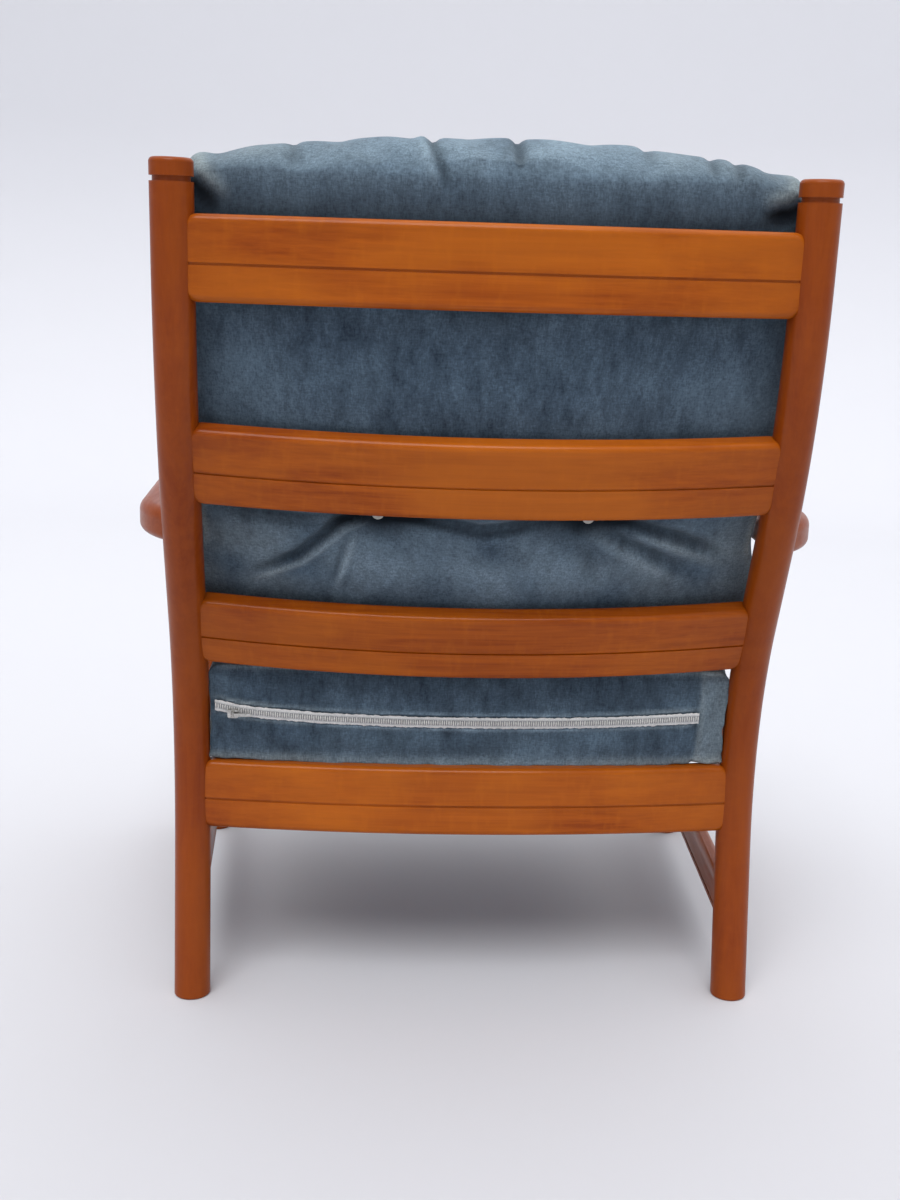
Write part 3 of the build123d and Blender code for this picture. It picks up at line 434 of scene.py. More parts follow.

# Petrol-blue velour, faded to a grey green along worn edges, with a painted highlight on the crown top and
# painted shade where shade falls
velourLook = {
    # darkest blue, for the pile's dark fibres and for painted shade
    "pileAndShadeDark": (0.006, 0.010, 0.016, 1),
    "deep": (0.026, 0.043, 0.066, 1),
    "blue": (0.112, 0.172, 0.236, 1),
    "light": (0.200, 0.290, 0.370, 1),
    # faded pile colour, also used for the painted highlight on the crown top
    "fadedAndLit": (0.320, 0.430, 0.510, 1),
    "fadedAndLitEnds": (0.370, 0.430, 0.430, 1),
    "sheen": (0.62, 0.74, 0.82, 1),
    "cloudShare": 0.4,
    "pileShade": 0.50,
    "endsFrom": 0.10,
    "endsTo": 0.26,
}


def makeVelour(name, look):
    material, tree, shader, where = newMaterial(name, 0.92, Sheen_Weight=0.35, Sheen_Roughness=0.45,
                                                Sheen_Tint=look["sheen"], Specular_IOR_Level=0.15)
    nap = placeGroup(tree, velourNap, where)
    colour = mixColour(tree, nap.outputs["Brush"], look["deep"], look["blue"])
    clouds = doMath(tree, "MULTIPLY", nap.outputs["Cloud"], look["cloudShare"])
    colour = mixColour(tree, clouds, colour, look["light"])
    split = addNode(tree, "ShaderNodeSeparateXYZ")
    tree.links.new(where, split.inputs["Vector"])
    outward = doMath(tree, "ABSOLUTE", split.outputs["X"])
    atEnds = stretchRange(tree, outward, look["endsFrom"], look["endsTo"])
    fadedAndLit = mixColour(tree, atEnds, look["fadedAndLit"], look["fadedAndLitEnds"])
    # real fade on worn edges plus a painted highlight on the crown top
    fadeAndHighlight = addNode(tree, "ShaderNodeAttribute", attribute_name="fadeAndHighlight")
    fadeAndHighlightShare = doMath(tree, "MULTIPLY", fadeAndHighlight.outputs["Fac"],
                    stretchRange(tree, nap.outputs["Brush"], 0.0, 1.0, 0.7, 1.1), True)
    colour = mixColour(tree, fadeAndHighlightShare, colour, fadedAndLit)
    # painted shade: this attribute darkens the colour in the tuft pits, fold valleys, behind the top slat and
    # on the seat's rear boxing
    dark = addNode(tree, "ShaderNodeAttribute", attribute_name="paintedShade")
    colour = mixColour(tree, dark.outputs["Fac"], colour, look["pileAndShadeDark"])
    shaded = mixColour(tree, look["pileShade"], colour, look["pileAndShadeDark"])
    colour = mixColour(tree, nap.outputs["Pile"], shaded, colour)
    tree.links.new(colour, shader.inputs["Base Color"])
    addBump(tree, shader, nap.outputs["Height"], 0.55, 0.0011)
    return material


velour = makeVelour("velour", velourLook)


tapeLook = {
    "dark": (0.56, 0.56, 0.55, 1),
    "light": (0.76, 0.75, 0.73, 1),
    "grime": (0.36, 0.38, 0.39, 1),
    # painted shade on the tape under the coil
    "shadeBand": (0.27, 0.28, 0.29, 1),  # under the coil
    "weave": (1500.0, 900.0, 900.0),
}


def makeTape(look):
    material, tree, shader, where = newMaterial("zipTape", 0.85)
    weave = noiseField(tree, where, 1.0, 2.0, 0.6, look["weave"])
    grime = noiseField(tree, where, 90.0, 4.0, 0.6)
    colour = mixColour(tree, stretchRange(tree, weave, 0.35, 0.65), look["dark"], look["light"])
    colour = mixColour(tree, stretchRange(tree, grime, 0.5, 0.8, 0.0, 0.6), colour, look["grime"])
    # painted shade under the coil, seen between the teeth
    shadeBand = addNode(tree, "ShaderNodeAttribute", attribute_name="teethShadeBand")
    colour = mixColour(tree, shadeBand.outputs["Fac"], colour, look["shadeBand"])
    tree.links.new(colour, shader.inputs["Base Color"])
    addBump(tree, shader, weave, 0.4, 0.0005)
    return material


zipTapeMaterial = makeTape(tapeLook)

nodeFinish = {
    "top_slat": woodAcross, "middle_slat": woodAcross, "lower_slat": woodAcross, "rear_rail": woodAcross,
    "front_rail": woodAcross, "rear_post_left": woodUpright, "rear_post_right": woodUpright,
    "front_leg_left": woodUpright, "front_leg_right": woodUpright, "side_rail_left": woodForward,
    "side_rail_right": woodForward, "stretcher_left": woodForward, "stretcher_right": woodForward,
    "arm_left": woodForward, "arm_right": woodForward, "side_rail_dowels": dowelWood,
    "front_rail_dowels": dowelWood, "stretcher_dowels": dowelWood, "arm_dowels": dowelWood,
    "corner_blocks": blockWood, "corner_screws": screwSteel, "webbing_clips": clipSteel,
    "webbing_straps": webbingRubber, "seat_cover": velour, "back_cover": velour, "seat_foam": foamMaterial,
    "back_filling": fillingMaterial, "back_buttons": velour, "tuft_ties": shadedTiePlastic,
    "tuft_cords": cordMaterial, "zip_tape": zipTapeMaterial, "zip_coil": zipWhite, "zip_slider": zipMetal,
    "zip_pull": zipMetal,
}
for nodeName, node in cadNodes.items():
    node.data.materials.clear()
    node.data.materials.append(nodeFinish[nodeName])
print("materials ready")


# Cushions. Each has its own frame: across the chair, out of the rear, and up
class CushionFrame:
    def __init__(self, origin, rear, up):
        self.origin = np.array(origin)
        self.axes = np.array(((1.0, 0.0, 0.0), rear, up))

    def toChair(self, local):
        return self.origin + np.asarray(local) @ self.axes

    def toLocal(self, world):
        return (np.asarray(world) - self.origin) @ self.axes.T


seatFrame = CushionFrame((0, 0.165307, 0.249009), (0, 0.986856, -0.161604), (0, 0.161604, 0.986856))
backFrame = CushionFrame((0, 0.192739, 0.358183), (0, 0.935032, -0.354563), (0, 0.354563, 0.935032))
panelCorners = [(-1, -1), (1, -1), (1, 1), (-1, 1)]


def readPoints(mesh):
    points = np.empty(len(mesh.vertices) * 3)
    mesh.vertices.foreach_get("co", points)
    return points.reshape(-1, 3)


def writePoints(mesh, points):
    mesh.vertices.foreach_set("co", points.ravel())
    mesh.update()


def readNormals(mesh):
    normals = np.empty(len(mesh.vertices) * 3)
    mesh.vertices.foreach_get("normal", normals)
    return normals.reshape(-1, 3)


def writeAttribute(mesh, name, values):
    layer = mesh.attributes.get(name) or mesh.attributes.new(name, "FLOAT", "POINT")
    layer.data.foreach_set("value", np.clip(values, 0.0, 1.0).astype(np.float32))


def dressVelour(piece):
    piece.data.materials.clear()
    piece.data.materials.append(velour)


def formBlock(name, shape, cuts):
    bm = bmesh.new()
    bmesh.ops.create_cube(bm, size=2.0)
    bmesh.ops.subdivide_edges(bm, edges=bm.edges[:], cuts=cuts, use_grid_fill=True)
    for vert in bm.verts:
        vert.co = Vector(shape(*vert.co))
    bmesh.ops.recalc_face_normals(bm, faces=bm.faces[:])
    return meshPiece(name, bm)


def bakeModifiers(piece):
    depsgraph = bpy.context.evaluated_depsgraph_get()
    baked = bpy.data.meshes.new_from_object(piece.evaluated_get(depsgraph))
    piece.modifiers.clear()
    old = piece.data
    piece.data = baked
    bpy.data.meshes.remove(old)


def remesh(piece, voxel):
    step = piece.modifiers.new("even", "REMESH")
    step.mode = "VOXEL"
    step.voxel_size = voxel
    bakeModifiers(piece)


# Swells a block under its cover, with the pinned points held
clothRun = {"quality": 5, "mass": 0.3}


def inflate(piece, look, pinned):
    start = readPoints(piece.data)
    group = piece.vertex_groups.new(name="held")
    group.add([int(i) for i in np.nonzero(pinned)[0]], 1.0, "REPLACE")
    cloth = piece.modifiers.new("stuffing", "CLOTH")
    settings = cloth.settings
    settings.quality = clothRun["quality"]
    settings.mass = clothRun["mass"]
    settings.tension_stiffness = look["stretch"]
    settings.compression_stiffness = look["stretch"]
    settings.shear_stiffness = look["shear"]
    settings.bending_stiffness = look["bending"]
    settings.use_pressure = True
    settings.uniform_pressure_force = look["pressure"]
    settings.shrink_min = -look["slack"]
    settings.effector_weights.gravity = 0
    settings.vertex_group_mass = "held"
    for step in range(1, look["frames"] + 1):
        scene.frame_set(step)
    bakeModifiers(piece)
    piece.vertex_groups.clear()
    moved = readPoints(piece.data) - start
    reach = np.linalg.norm(moved, axis=1, keepdims=True)
    moved *= np.minimum(1.0, look["cap"] / np.maximum(reach, 1e-9))
    writePoints(piece.data, start + moved)
    scene.frame_set(1)


def subdivideOnce(piece):
    step = piece.modifiers.new("finer", "SUBSURF")
    step.levels = 1
    step.render_levels = 1
    bakeModifiers(piece)


def soften(piece, rounds):
    step = piece.modifiers.new("soften", "SMOOTH")
    step.factor = 0.5
    step.iterations = rounds
    bakeModifiers(piece)


# Distance from a broken line, the share of its length gone by, and the side
def lineDistance(across, up, line):
    best = np.full(len(across), 1e9)
    along = np.zeros(len(across))
    side = np.zeros(len(across))
    spans = [math.dist(a, b) for a, b in zip(line, line[1:])]
    total = sum(spans)
    gone = 0.0
    for (x0, u0), (x1, u1), span in zip(line, line[1:], spans):
        dx, du = (x1 - x0) / span, (u1 - u0) / span
        t = np.clip((across - x0) * dx + (up - u0) * du, 0.0, span)
        ex, eu = across - x0 - dx * t, up - u0 - du * t
        near = np.hypot(ex, eu)
        better = near < best
        best = np.where(better, near, best)
        along = np.where(better, (gone + t) / total, along)
        side = np.where(better, dx * eu - du * ex, side)
        gone += span
    return best, along, np.sign(side)


foldEnds = {"start": 0.25, "end": 0.4, "ridgeAt": 1.8}  # tapers as shares of the line, ridge in widths


def foldHeight(across, up, fold):
    near, along, side = lineDistance(across, up, fold["line"])
    width = fold["width"]
    entering = along / foldEnds["start"] + fold.get("blunt", 0.0)
    taper = np.minimum(1.0, np.minimum(entering, (1 - along) / foldEnds["end"]))
    valley = -fold["depth"] * np.exp(-(near / width) ** 2)
    ridgeWidth = fold.get("ridgeWidth", width)
    fromRidge = near * side - fold.get("ridgeAt", foldEnds["ridgeAt"]) * width
    ridge = fold.get("lift", 0.0) * np.exp(-(fromRidge / ridgeWidth) ** 2)
    return (valley + ridge) * np.clip(taper, 0.0, 1.0)


def seamPath(shape, corners, steps, closed=True):
    points = []
    ends = corners[1:] + corners[:1] if closed else corners[1:]
    for first, second in zip(corners, ends):
        for step in range(steps):
            share = step / steps
            points.append(shape(*[p + (q - p) * share for p, q in zip(first, second)]))
    return points


def seamDistance(points, seams):
    tree = KDTree(len(seams))
    for index, point in enumerate(seams):
        tree.insert(point, index)
    tree.balance()
    return np.array([tree.find(point)[2] for point in points])


seedStep = (3.7, 1.9, 5.3)  # moves each noise to a place of its own


def noiseAt(points, scale, seed):
    shift = Vector([seed * step for step in seedStep])
    return np.array([noise.noise(Vector(point) * scale + shift) for point in points])


# A bell curve round zero, and a value held between 0 and 1
def bell(distance, width, power=2):
    return np.exp(-(distance / width) ** power)


def ramp(value):
    return np.clip(value, 0, 1)


# A sewn edge: a narrow ridge between two grooves, with puckers that run into the panels
sewnEdge = {
    "grooveAt": 0.0055, "grooveWidth": 0.0024, "ridgeWidth": 0.0026,
    "puckerAt": 0.008, "puckerWidth": 0.016, "puckerSeed": 2.0,
    "rippleScale": 14.0, "rippleFrom": 0.03, "rippleSeed": 5.0,
}


def sewEdges(points, normals, near, look):
    edge = sewnEdge
    groove = look["groove"] * bell(near - edge["grooveAt"], edge["grooveWidth"])
    ridge = look["ridge"] * bell(near, edge["ridgeWidth"])
    pucker = look["pucker"] * noiseAt(points, look["puckerScale"], edge["puckerSeed"])
    pucker *= bell(near - edge["puckerAt"], edge["puckerWidth"])
    ripple = look["ripple"] * noiseAt(points, edge["rippleScale"], edge["rippleSeed"])
    ripple *= ramp(near / edge["rippleFrom"])
    return points + normals * (ridge - groove + pucker + ripple)[:, None]


# Seat cushion: a boxed pad, crowned on top and flat where it lies on the webbing
seatPad = {
    "rearHalf": 0.267, "frontHalf": 0.286, "depth": 0.535, "boxing": 0.104, "topLimit": 0.136,
    "crown": 0.020, "draw": 0.002, "cornerDraw": 0.004, "inset": 0.001,
    "cuts": 30, "voxel": 0.0063, "seamSteps": 150, "heldBySeam": 0.006, "heldUnder": 0.004,
    "stretch": 12.0, "shear": 4.0, "bending": 1.2, "pressure": 3.0, "slack": 0.008, "frames": 20,
    "cap": 0.022,
    "groove": 0.0011, "ridge": 0.0008, "pucker": 0.0014, "puckerScale": 70.0, "ripple": 0.0022,
    "rearDeep": 0.012, "rearRipple": 0.4, "rearScale": 26.0, "rearSeed": 11.0, "rearSink": 0.0012,
    "sideSeam": -0.237, "sideSeamWidth": 0.0022, "sideSeamDeep": 0.0012,  # upright seam, right of the zip
    "cornerReach": 0.011, "cornerLeast": 0.25,
    # the underside on the rear rail, and its sag on to the webbing
    "railTop": 0.2483, "sag": 0.0046, "sagFrom": 0.475, "sagOver": 0.02, "sagHalf": 0.266, "sagSides": 0.006,
    "sagHigh": 0.012, "flare": 0.012, "flareHalf": 0.240, "flareHigh": 0.036, "flareDeep": 0.03,
    "hem": 0.0030, "hemHigh": 0.016, "hemDeep": 0.012,
    # rear corners pushed out towards the posts, above and below the middle
    "earOut": 0.0045, "earFrom": 0.235, "earOver": 0.02, "earMiddle": 0.048, "earClear": 0.010,
    "earRise": 0.025, "earDeep": 0.06,
    # wear, and painted shade on the rear boxing
    "patchScale": 30.0, "patchSeed": 14.0, "hemFade": 0.007, "seamFade": 0.0042, "fadeLevel": 0.75,
    "fadeVary": 0.6, "lipFade": 0.75, "endFade": 0.30, "endFrom": 0.001, "endOver": 0.004,
    "sideFade": 0.25, "sideFadeWidth": 0.003, "paintedShade": 0.35, "paintedShadeLevel": 0.6,
}

# Zip line on the rear boxing: across the chair, height above the underside
zipper = {
    "line": ((-0.238, 0.0540), (-0.165, 0.0490), (-0.093, 0.0460), (-0.010, 0.0450), (0.072, 0.0457),
             (0.150, 0.0485), (0.205, 0.0526), (0.228, 0.0550), (0.242, 0.0566), (0.261, 0.0635)),
    "smoothing": (-0.012, -0.006, 0.0, 0.006, 0.012),
    # lips of the boxing beside the tape, and the bed under it
    "middle": 0.011, "reach": 0.255, "ends": 0.02, "lip": 0.0016, "lipAt": 0.0080, "lipWidth": 0.0026,
    "lipLevel": 0.65, "lipVary": 0.5, "lipScale": 55.0, "lipSeed": 8.0, "bed": 0.0012, "bedHalf": 0.006,
    # tape
    "tape": 0.0118, "tapeCuts": (320, 10), "tapeThick": 0.0006, "rear": 0.0006, "tapeCrown": 0.0004,
    "tapeWave": 0.0003, "tapeWaveScale": 60, "frayFrom": 0.85, "fray": 0.0009, "frayScale": 300,
    "frayFine": 0.0005, "frayFineScale": 1100, "bandHalf": 0.0034,
    # coil
    "pitch": 0.0023, "toothWide": 0.0029, "toothTall": 0.0012, "toothLong": 0.00078, "toothRear": 0.0014,
    "toothLean": 0.0003, "toothSegments": (8, 5),
}


def zipHeight(across):
    xs, heights = zip(*zipper["line"])
    steps = zipper["smoothing"]
    return sum(np.interp(np.asarray(across) + step, xs, heights) for step in steps) / len(steps)


def seatShape(a, b, c):
    look = seatPad
    share = (1 - b) / 2  # 0 at the rear, 1 at the front
    half = look["rearHalf"] + (look["frontHalf"] - look["rearHalf"]) * share - look["inset"]
    draw = look["draw"] * c * c
    corner = 1 - look["cornerDraw"] * (a * b) ** 6
    across = a * (half - draw) * corner
    middle = -look["depth"] / 2
    deep = middle + b * corner * (look["depth"] / 2 - look["inset"] - draw)
    crown = look["crown"] * (1 - abs(a) ** 3) * (1 - abs(b) ** 3)
    high = look["boxing"] * (c + 1) / 2 + (crown if c > 0.99 else 0.0)
    return seatFrame.toChair((across, deep, high))


# Draws the rounding left by the remesh back towards the sewn corner lines
def squeezeCorner(first, second, look):
    squeeze = np.clip(np.maximum(first, second) / look["cornerReach"], look["cornerLeast"], 1.0)
    return first * squeeze, second * squeeze


def sharpenEdges(local, look):
    share = ramp(-local[:, 1] / look["depth"])
    half = look["rearHalf"] + (look["frontHalf"] - look["rearHalf"]) * share
    inside, low = squeezeCorner(-local[:, 1], local[:, 2], look)
    beside, low = squeezeCorner(half - np.abs(local[:, 0]), low, look)
    beside, inside = squeezeCorner(beside, inside, look)
    local[:, 0] = np.sign(local[:, 0]) * (half - beside)
    local[:, 1] = -inside
    local[:, 2] = low


# Lays the underside on the rear rail, lets it sag on to the webbing and presses the rear corners to the posts
def settleSeat(local, look):
    across, deep, high = local.T  # views, so they follow each change below
    flare = look["flare"] * ramp(1 - (across / look["flareHalf"]) ** 2)
    flare *= ramp(1 - high / look["flareHigh"]) ** 1.5 * ramp(1 + deep / look["flareDeep"])
    local[:, 1] += flare
    plane = seatFrame.toChair(local * (1, 1, 0))[:, 2]
    drop = plane - np.maximum(look["railTop"], plane - look["sag"])
    drop *= ramp((deep + look["sagFrom"]) / look["sagOver"])
    drop *= ramp((look["sagHalf"] - np.abs(across)) / look["sagSides"])
    local[:, 2] -= drop * ramp(1 - high / look["sagHigh"])
    local[:, 2] -= look["hem"] * ramp(1 + deep / look["hemDeep"]) * ramp(1 - high / look["hemHigh"])
    ear = ramp((np.abs(across) - look["earFrom"]) / look["earOver"])
    ear *= ramp((np.abs(high - look["earMiddle"]) - look["earClear"]) / look["earRise"])
    local[:, 0] += np.sign(across) * look["earOut"] * ear * ramp(1 + deep / look["earDeep"])


def makeSeatCushion(look):
    piece = formBlock("seatCushion", seatShape, look["cuts"])
    remesh(piece, look["voxel"])
    seams = []
    for c in (-1, 1):
        seams += seamPath(seatShape, [(a, b, c) for a, b in panelCorners], look["seamSteps"])
    points = readPoints(piece.data)
    held = seamDistance(points, seams) < look["heldBySeam"]
    held |= seatFrame.toLocal(points)[:, 2] < look["heldUnder"]
    inflate(piece, look, held)
    subdivideOnce(piece)
    mesh = piece.data
    points = readPoints(mesh)
    near = seamDistance(points, seams)
    points = sewEdges(points, readNormals(mesh), near, look)
    local = seatFrame.toLocal(points)
    across, deep, high = local.T  # views, so they follow each change below
    local[:, 2] = np.clip(high, 0.0, look["topLimit"])

    # rear boxing: lips and bed of the zip, and the upright seam
    rearFace = (deep > -look["rearDeep"]) & (high < look["boxing"])
    fromZip = high - zipHeight(across)
    onZip = ramp((zipper["reach"] - np.abs(across - zipper["middle"])) / zipper["ends"])
    lip = bell(np.abs(fromZip) - zipper["lipAt"], zipper["lipWidth"]) * onZip
    lipWave = zipper["lipLevel"] + zipper["lipVary"] * noiseAt(points, zipper["lipScale"], zipper["lipSeed"])
    bed = bell(fromZip, zipper["bedHalf"], 4) * onZip
    upright = bell(across - look["sideSeam"], look["sideSeamWidth"])
    rise = look["ripple"] * look["rearRipple"] * noiseAt(points, look["rearScale"], look["rearSeed"])
    rise += zipper["lip"] * lip * lipWave - look["rearSink"]
    rise -= zipper["bed"] * bed + look["sideSeamDeep"] * upright
    local[:, 1] = np.minimum(deep, 0.0) + np.where(rearFace, rise, 0.0)
    sharpenEdges(local, look)
    settleSeat(local, look)
    writePoints(mesh, seatFrame.toChair(local))
    smoothFaces(mesh)

    # wear along the seams and lips, and on the strip beyond the upright seam; painted shade in patches over
    # the rear boxing
    patches = noiseAt(points, look["patchScale"], look["patchSeed"])
    edge = np.maximum(bell(near, look["seamFade"]), bell(high, look["hemFade"]) * rearFace)
    beyond = ramp((look["sideSeam"] - look["endFrom"] - across) / look["endOver"]) * rearFace
    besideSeam = bell(across - look["sideSeam"] + look["sideFadeWidth"], look["sideFadeWidth"]) * rearFace
    fadeAndHighlight = edge * (look["fadeLevel"] + look["fadeVary"] * patches)
    fadeAndHighlight += look["lipFade"] * lip * lipWave * rearFace
    fadeAndHighlight += look["endFade"] * beyond + look["sideFade"] * besideSeam
    writeAttribute(mesh, "fadeAndHighlight", fadeAndHighlight)
    # painted shade on the rear boxing, which sits under the lower slat, broken into patches
    dark = look["paintedShade"] * rearFace * ramp(look["paintedShadeLevel"] + patches) * (1 - beyond) * (1 - lip)
    writeAttribute(mesh, "paintedShade", dark)
    dressVelour(piece)
    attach(piece, "seat_cushion")
    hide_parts("seat_cover", "seat_foam")
    print("seat cushion:", len(mesh.polygons), "faces")
    return piece


# Back cushion: it leans on the slats, with tufts through it and a crown above the top slat
backPad = {
    # up the lean, rear face, half width, height of the sides
    "stations": ((-0.034, -0.0099, 0.256, 0.0434), (0.0, -0.0009, 0.272, 0.062),
                 (0.0764, 0.0089, 0.279, 0.062), (0.108, 0.0141, 0.2740, 0.062),
                 (0.128, 0.0174, 0.2670, 0.062), (0.1898, 0.0277, 0.2665, 0.062),
                 (0.2150, 0.0285, 0.2720, 0.062), (0.2647, 0.0300, 0.2780, 0.062),
                 (0.3745, 0.0173, 0.281, 0.062), (0.4441, -0.0009, 0.285, 0.0558),
                 (0.4765, -0.0109, 0.284, 0.0384), (0.4981, -0.0269, 0.262, 0.0124)),
    "rearCrown": 0.032, "frontCrown": 0.038, "fullSide": 0.062, "bulge": 0.002, "inset": 0.001,
    "cuts": 30, "voxel": 0.0063, "seamSteps": 150, "heldBySeam": 0.006, "softenRounds": 5,
    "top": 0.482, "topFall": 0.016, "cornerFall": 0.010, "topRoll": 0.014, "rollRound": 0.96,
    "rearNarrow": 0.008, "narrowFrom": 0.19, "narrowOver": 0.06, "crownFrom": 0.40, "crownTop": 0.4985,
    # across, up, front, rear
    "tufts": ((-0.098, 0.178, -0.0886, 0.0143), (0.098, 0.178, -0.0886, 0.0143),
              (-0.190, 0.395, -0.0866, -0.0096), (0.0, 0.395, -0.1050, 0.0050),
              (0.190, 0.395, -0.0866, -0.0096)),
    "tuftReach": 0.016, "tuftHeld": 0.011,
    "stretch": 10.0, "shear": 3.0, "bending": 0.6, "pressure": 3.0, "slack": 0.015, "frames": 20,
    "cap": 0.022,
    "groove": 0.0012, "ridge": 0.0009, "pucker": 0.0020, "puckerScale": 46.0, "ripple": 0.0026,
    "dimple": 0.030, "dimplePower": 1.6, "pleats": 7, "pleatDeep": 0.0014, "pleatWidth": 0.018,
    "pleatTurn": 40,
    # rear panel: how it faces, where the crown starts, the pull of the tufts and the room left to the slats
    "facing": 2.5, "onCrownFrom": 0.445, "onCrownOver": 0.02, "dipWide": 0.6, "dipReach": 0.025,
    "dipDeep": 0.014, "rearSlack": 0.006, "rearClear": 0.0003,
    # the underside on the seat cushion
    "seatTopFrom": 0.09, "restOver": 0.11, "restGap": 0.0006, "restDrop": 0.035,
    # wear, with a painted highlight on the crown top and painted shade in the valleys, the tuft dips and
    # behind the top slat
    "patchScale": 24.0, "patchSeed": 21.0, "crownFadeAndHighlightFrom": 0.456, "crownFadeAndHighlightOver": 0.040, "crownFadeAndHighlight": 0.52,
    "crownVary": 0.4, "seamFade": 0.0045, "fadeLevel": 0.5, "fadeVary": 0.5, "ridgeFull": 0.003,
    "ridgeLift": 0.55, "lowAt": 0.115, "lowOver": 0.075, "lowLift": 0.34, "lowVary": 0.5, "lowMost": 0.5,
    "valleyFull": 0.004, "valleyShade": 0.6, "dipShade": 1.25,
    "bandShade": 0.62, "bandFrom": 0.415, "bandRise": 0.02, "bandTo": 0.480, "bandFall": 0.040,
}
backStations = np.array(backPad["stations"])
backFoot = backStations[0, 0]

# Folds of the rear panel, read as across and up the lean. Lift is the ridge on the fold's left-hand side
backFolds = (
    {"line": ((0.118, 0.172), (0.1326, 0.1646), (0.1742, 0.1233), (0.2267, 0.093)), "depth": 0.007,
     "width": 0.006, "lift": 0.006, "ridgeAt": -1.25, "ridgeWidth": 0.0042, "blunt": 1.0},
    {"line": ((0.2621, 0.176), (0.2126, 0.170), (0.169, 0.168), (0.1284, 0.172)), "depth": 0.005,
     "width": 0.005, "lift": -0.003},
    {"line": ((0.1190, 0.1540), (0.1390, 0.0820)), "depth": -0.0040, "width": 0.0034, "lift": -0.002},
    {"line": ((0.0823, 0.1804), (0.0578, 0.1774), (0.0285, 0.172), (0.003, 0.1653), (-0.0192, 0.1676),
              (-0.0575, 0.1781), (-0.0843, 0.1823)), "depth": 0.0065, "width": 0.0048, "lift": -0.005,
     "ridgeAt": 1.6, "blunt": 0.6},
    {"line": ((-0.112, 0.180), (-0.1816, 0.1549), (-0.2504, 0.1234)), "depth": 0.0055, "width": 0.007,
     "lift": 0.003, "blunt": 1.0},
    {"line": ((-0.118, 0.166), (-0.1518, 0.1431), (-0.2134, 0.1049)), "depth": 0.004, "width": 0.008,
     "lift": 0.002, "blunt": 0.8},
    {"line": ((-0.1023, 0.1496), (-0.1068, 0.0949)), "depth": 0.003, "width": 0.009},
    {"line": ((0.0620, 0.508), (0.0545, 0.494), (0.0480, 0.4826), (0.0420, 0.464)), "depth": 0.0044,
     "width": 0.0046, "lift": 0.0016, "blunt": 1.0},
    {"line": ((-0.0189, 0.508), (-0.0173, 0.4967), (-0.0165, 0.482)), "depth": 0.0050, "width": 0.0050,
     "blunt": 1.0},
    {"line": ((0.176, 0.500), (0.1743, 0.476)), "depth": 0.0025, "width": 0.005, "blunt": 1.0},
    {"line": ((-0.130, 0.506), (-0.1308, 0.482)), "depth": 0.0022, "width": 0.006, "blunt": 1.0},
    {"line": ((-0.1872, 0.500), (-0.1847, 0.476)), "depth": 0.003, "width": 0.005, "blunt": 1.0},
    {"line": ((-0.2095, 0.498), (-0.2069, 0.472)), "depth": 0.003, "width": 0.005, "blunt": 1.0},
    {"line": ((0.262, 0.478), (0.2433, 0.4631), (0.226, 0.450)), "depth": -0.0035, "width": 0.007,
     "lift": -0.006, "ridgeAt": 2.0, "blunt": 1.0},
    {"line": ((-0.266, 0.474), (-0.2519, 0.4631), (-0.226, 0.460)), "depth": -0.0035, "width": 0.007,
     "lift": -0.006, "ridgeAt": -2.0, "blunt": 1.0},
)


def backAt(up):
    return [float(np.interp(up, backStations[:, 0], backStations[:, k])) for k in (1, 2, 3)]


def backShape(a, b, c):
    look = backPad
    low = backFoot + look["inset"]
    roll = look["topRoll"] * (1 - math.sqrt(1 - look["rollRound"] * b * b))
    high = look["top"] - look["topFall"] * a * a - look["cornerFall"] * a ** 10 - roll
    up = low + (high - low) * (c + 1) / 2
    rear, half, side = backAt(up)
    arch = 1 - a * a
    rearSeam = rear - look["rearCrown"]
    frontSeam = rearSeam - side
    rearFace = rearSeam + look["rearCrown"] * arch - look["inset"]
    frontFace = frontSeam - look["frontCrown"] * arch * side / look["fullSide"] + look["inset"]
    deep = frontFace + (rearFace - frontFace) * (b + 1) / 2
    narrow = min(max((up - look["narrowFrom"]) / look["narrowOver"], 0.0), 1.0)
    narrow *= look["rearNarrow"] * (b + 1) / 2
    across = a * (half - look["inset"] - narrow + look["bulge"] * (1 - b * b))
    return backFrame.toChair((across, deep, up))


def rearLimit(across, up):
    rear = np.interp(up, backStations[:, 0], backStations[:, 1])
    half = np.interp(up, backStations[:, 0], backStations[:, 2])
    return rear - backPad["rearCrown"] * np.clip(across / half, -1, 1) ** 2


def pressTufts(local, look):
    for across, up, front, rear in look["tufts"]:
        pull = bell(np.hypot(local[:, 0] - across, local[:, 2] - up), look["tuftReach"])
        ahead = local[:, 1] < (front + rear) / 2
        local[:, 1] += np.where(ahead, front - local[:, 1], rear - local[:, 1]) * pull


# Front dimples round the buttons, with short pleats that run out of them
def pressFront(local, look, ahead):
    for across, up, front, rear in look["tufts"]:
        aside, above = local[:, 0] - across, local[:, 2] - up
        near = np.hypot(aside, above)
        pull = bell(near, look["dimple"], look["dimplePower"]) * ahead
        pleat = np.sin(look["pleats"] * np.arctan2(above, aside) + across * look["pleatTurn"])
        pleat *= look["pleatDeep"] * bell(near - look["dimple"], look["pleatWidth"]) * ahead
        local[:, 1] += (front - local[:, 1]) * pull + pleat


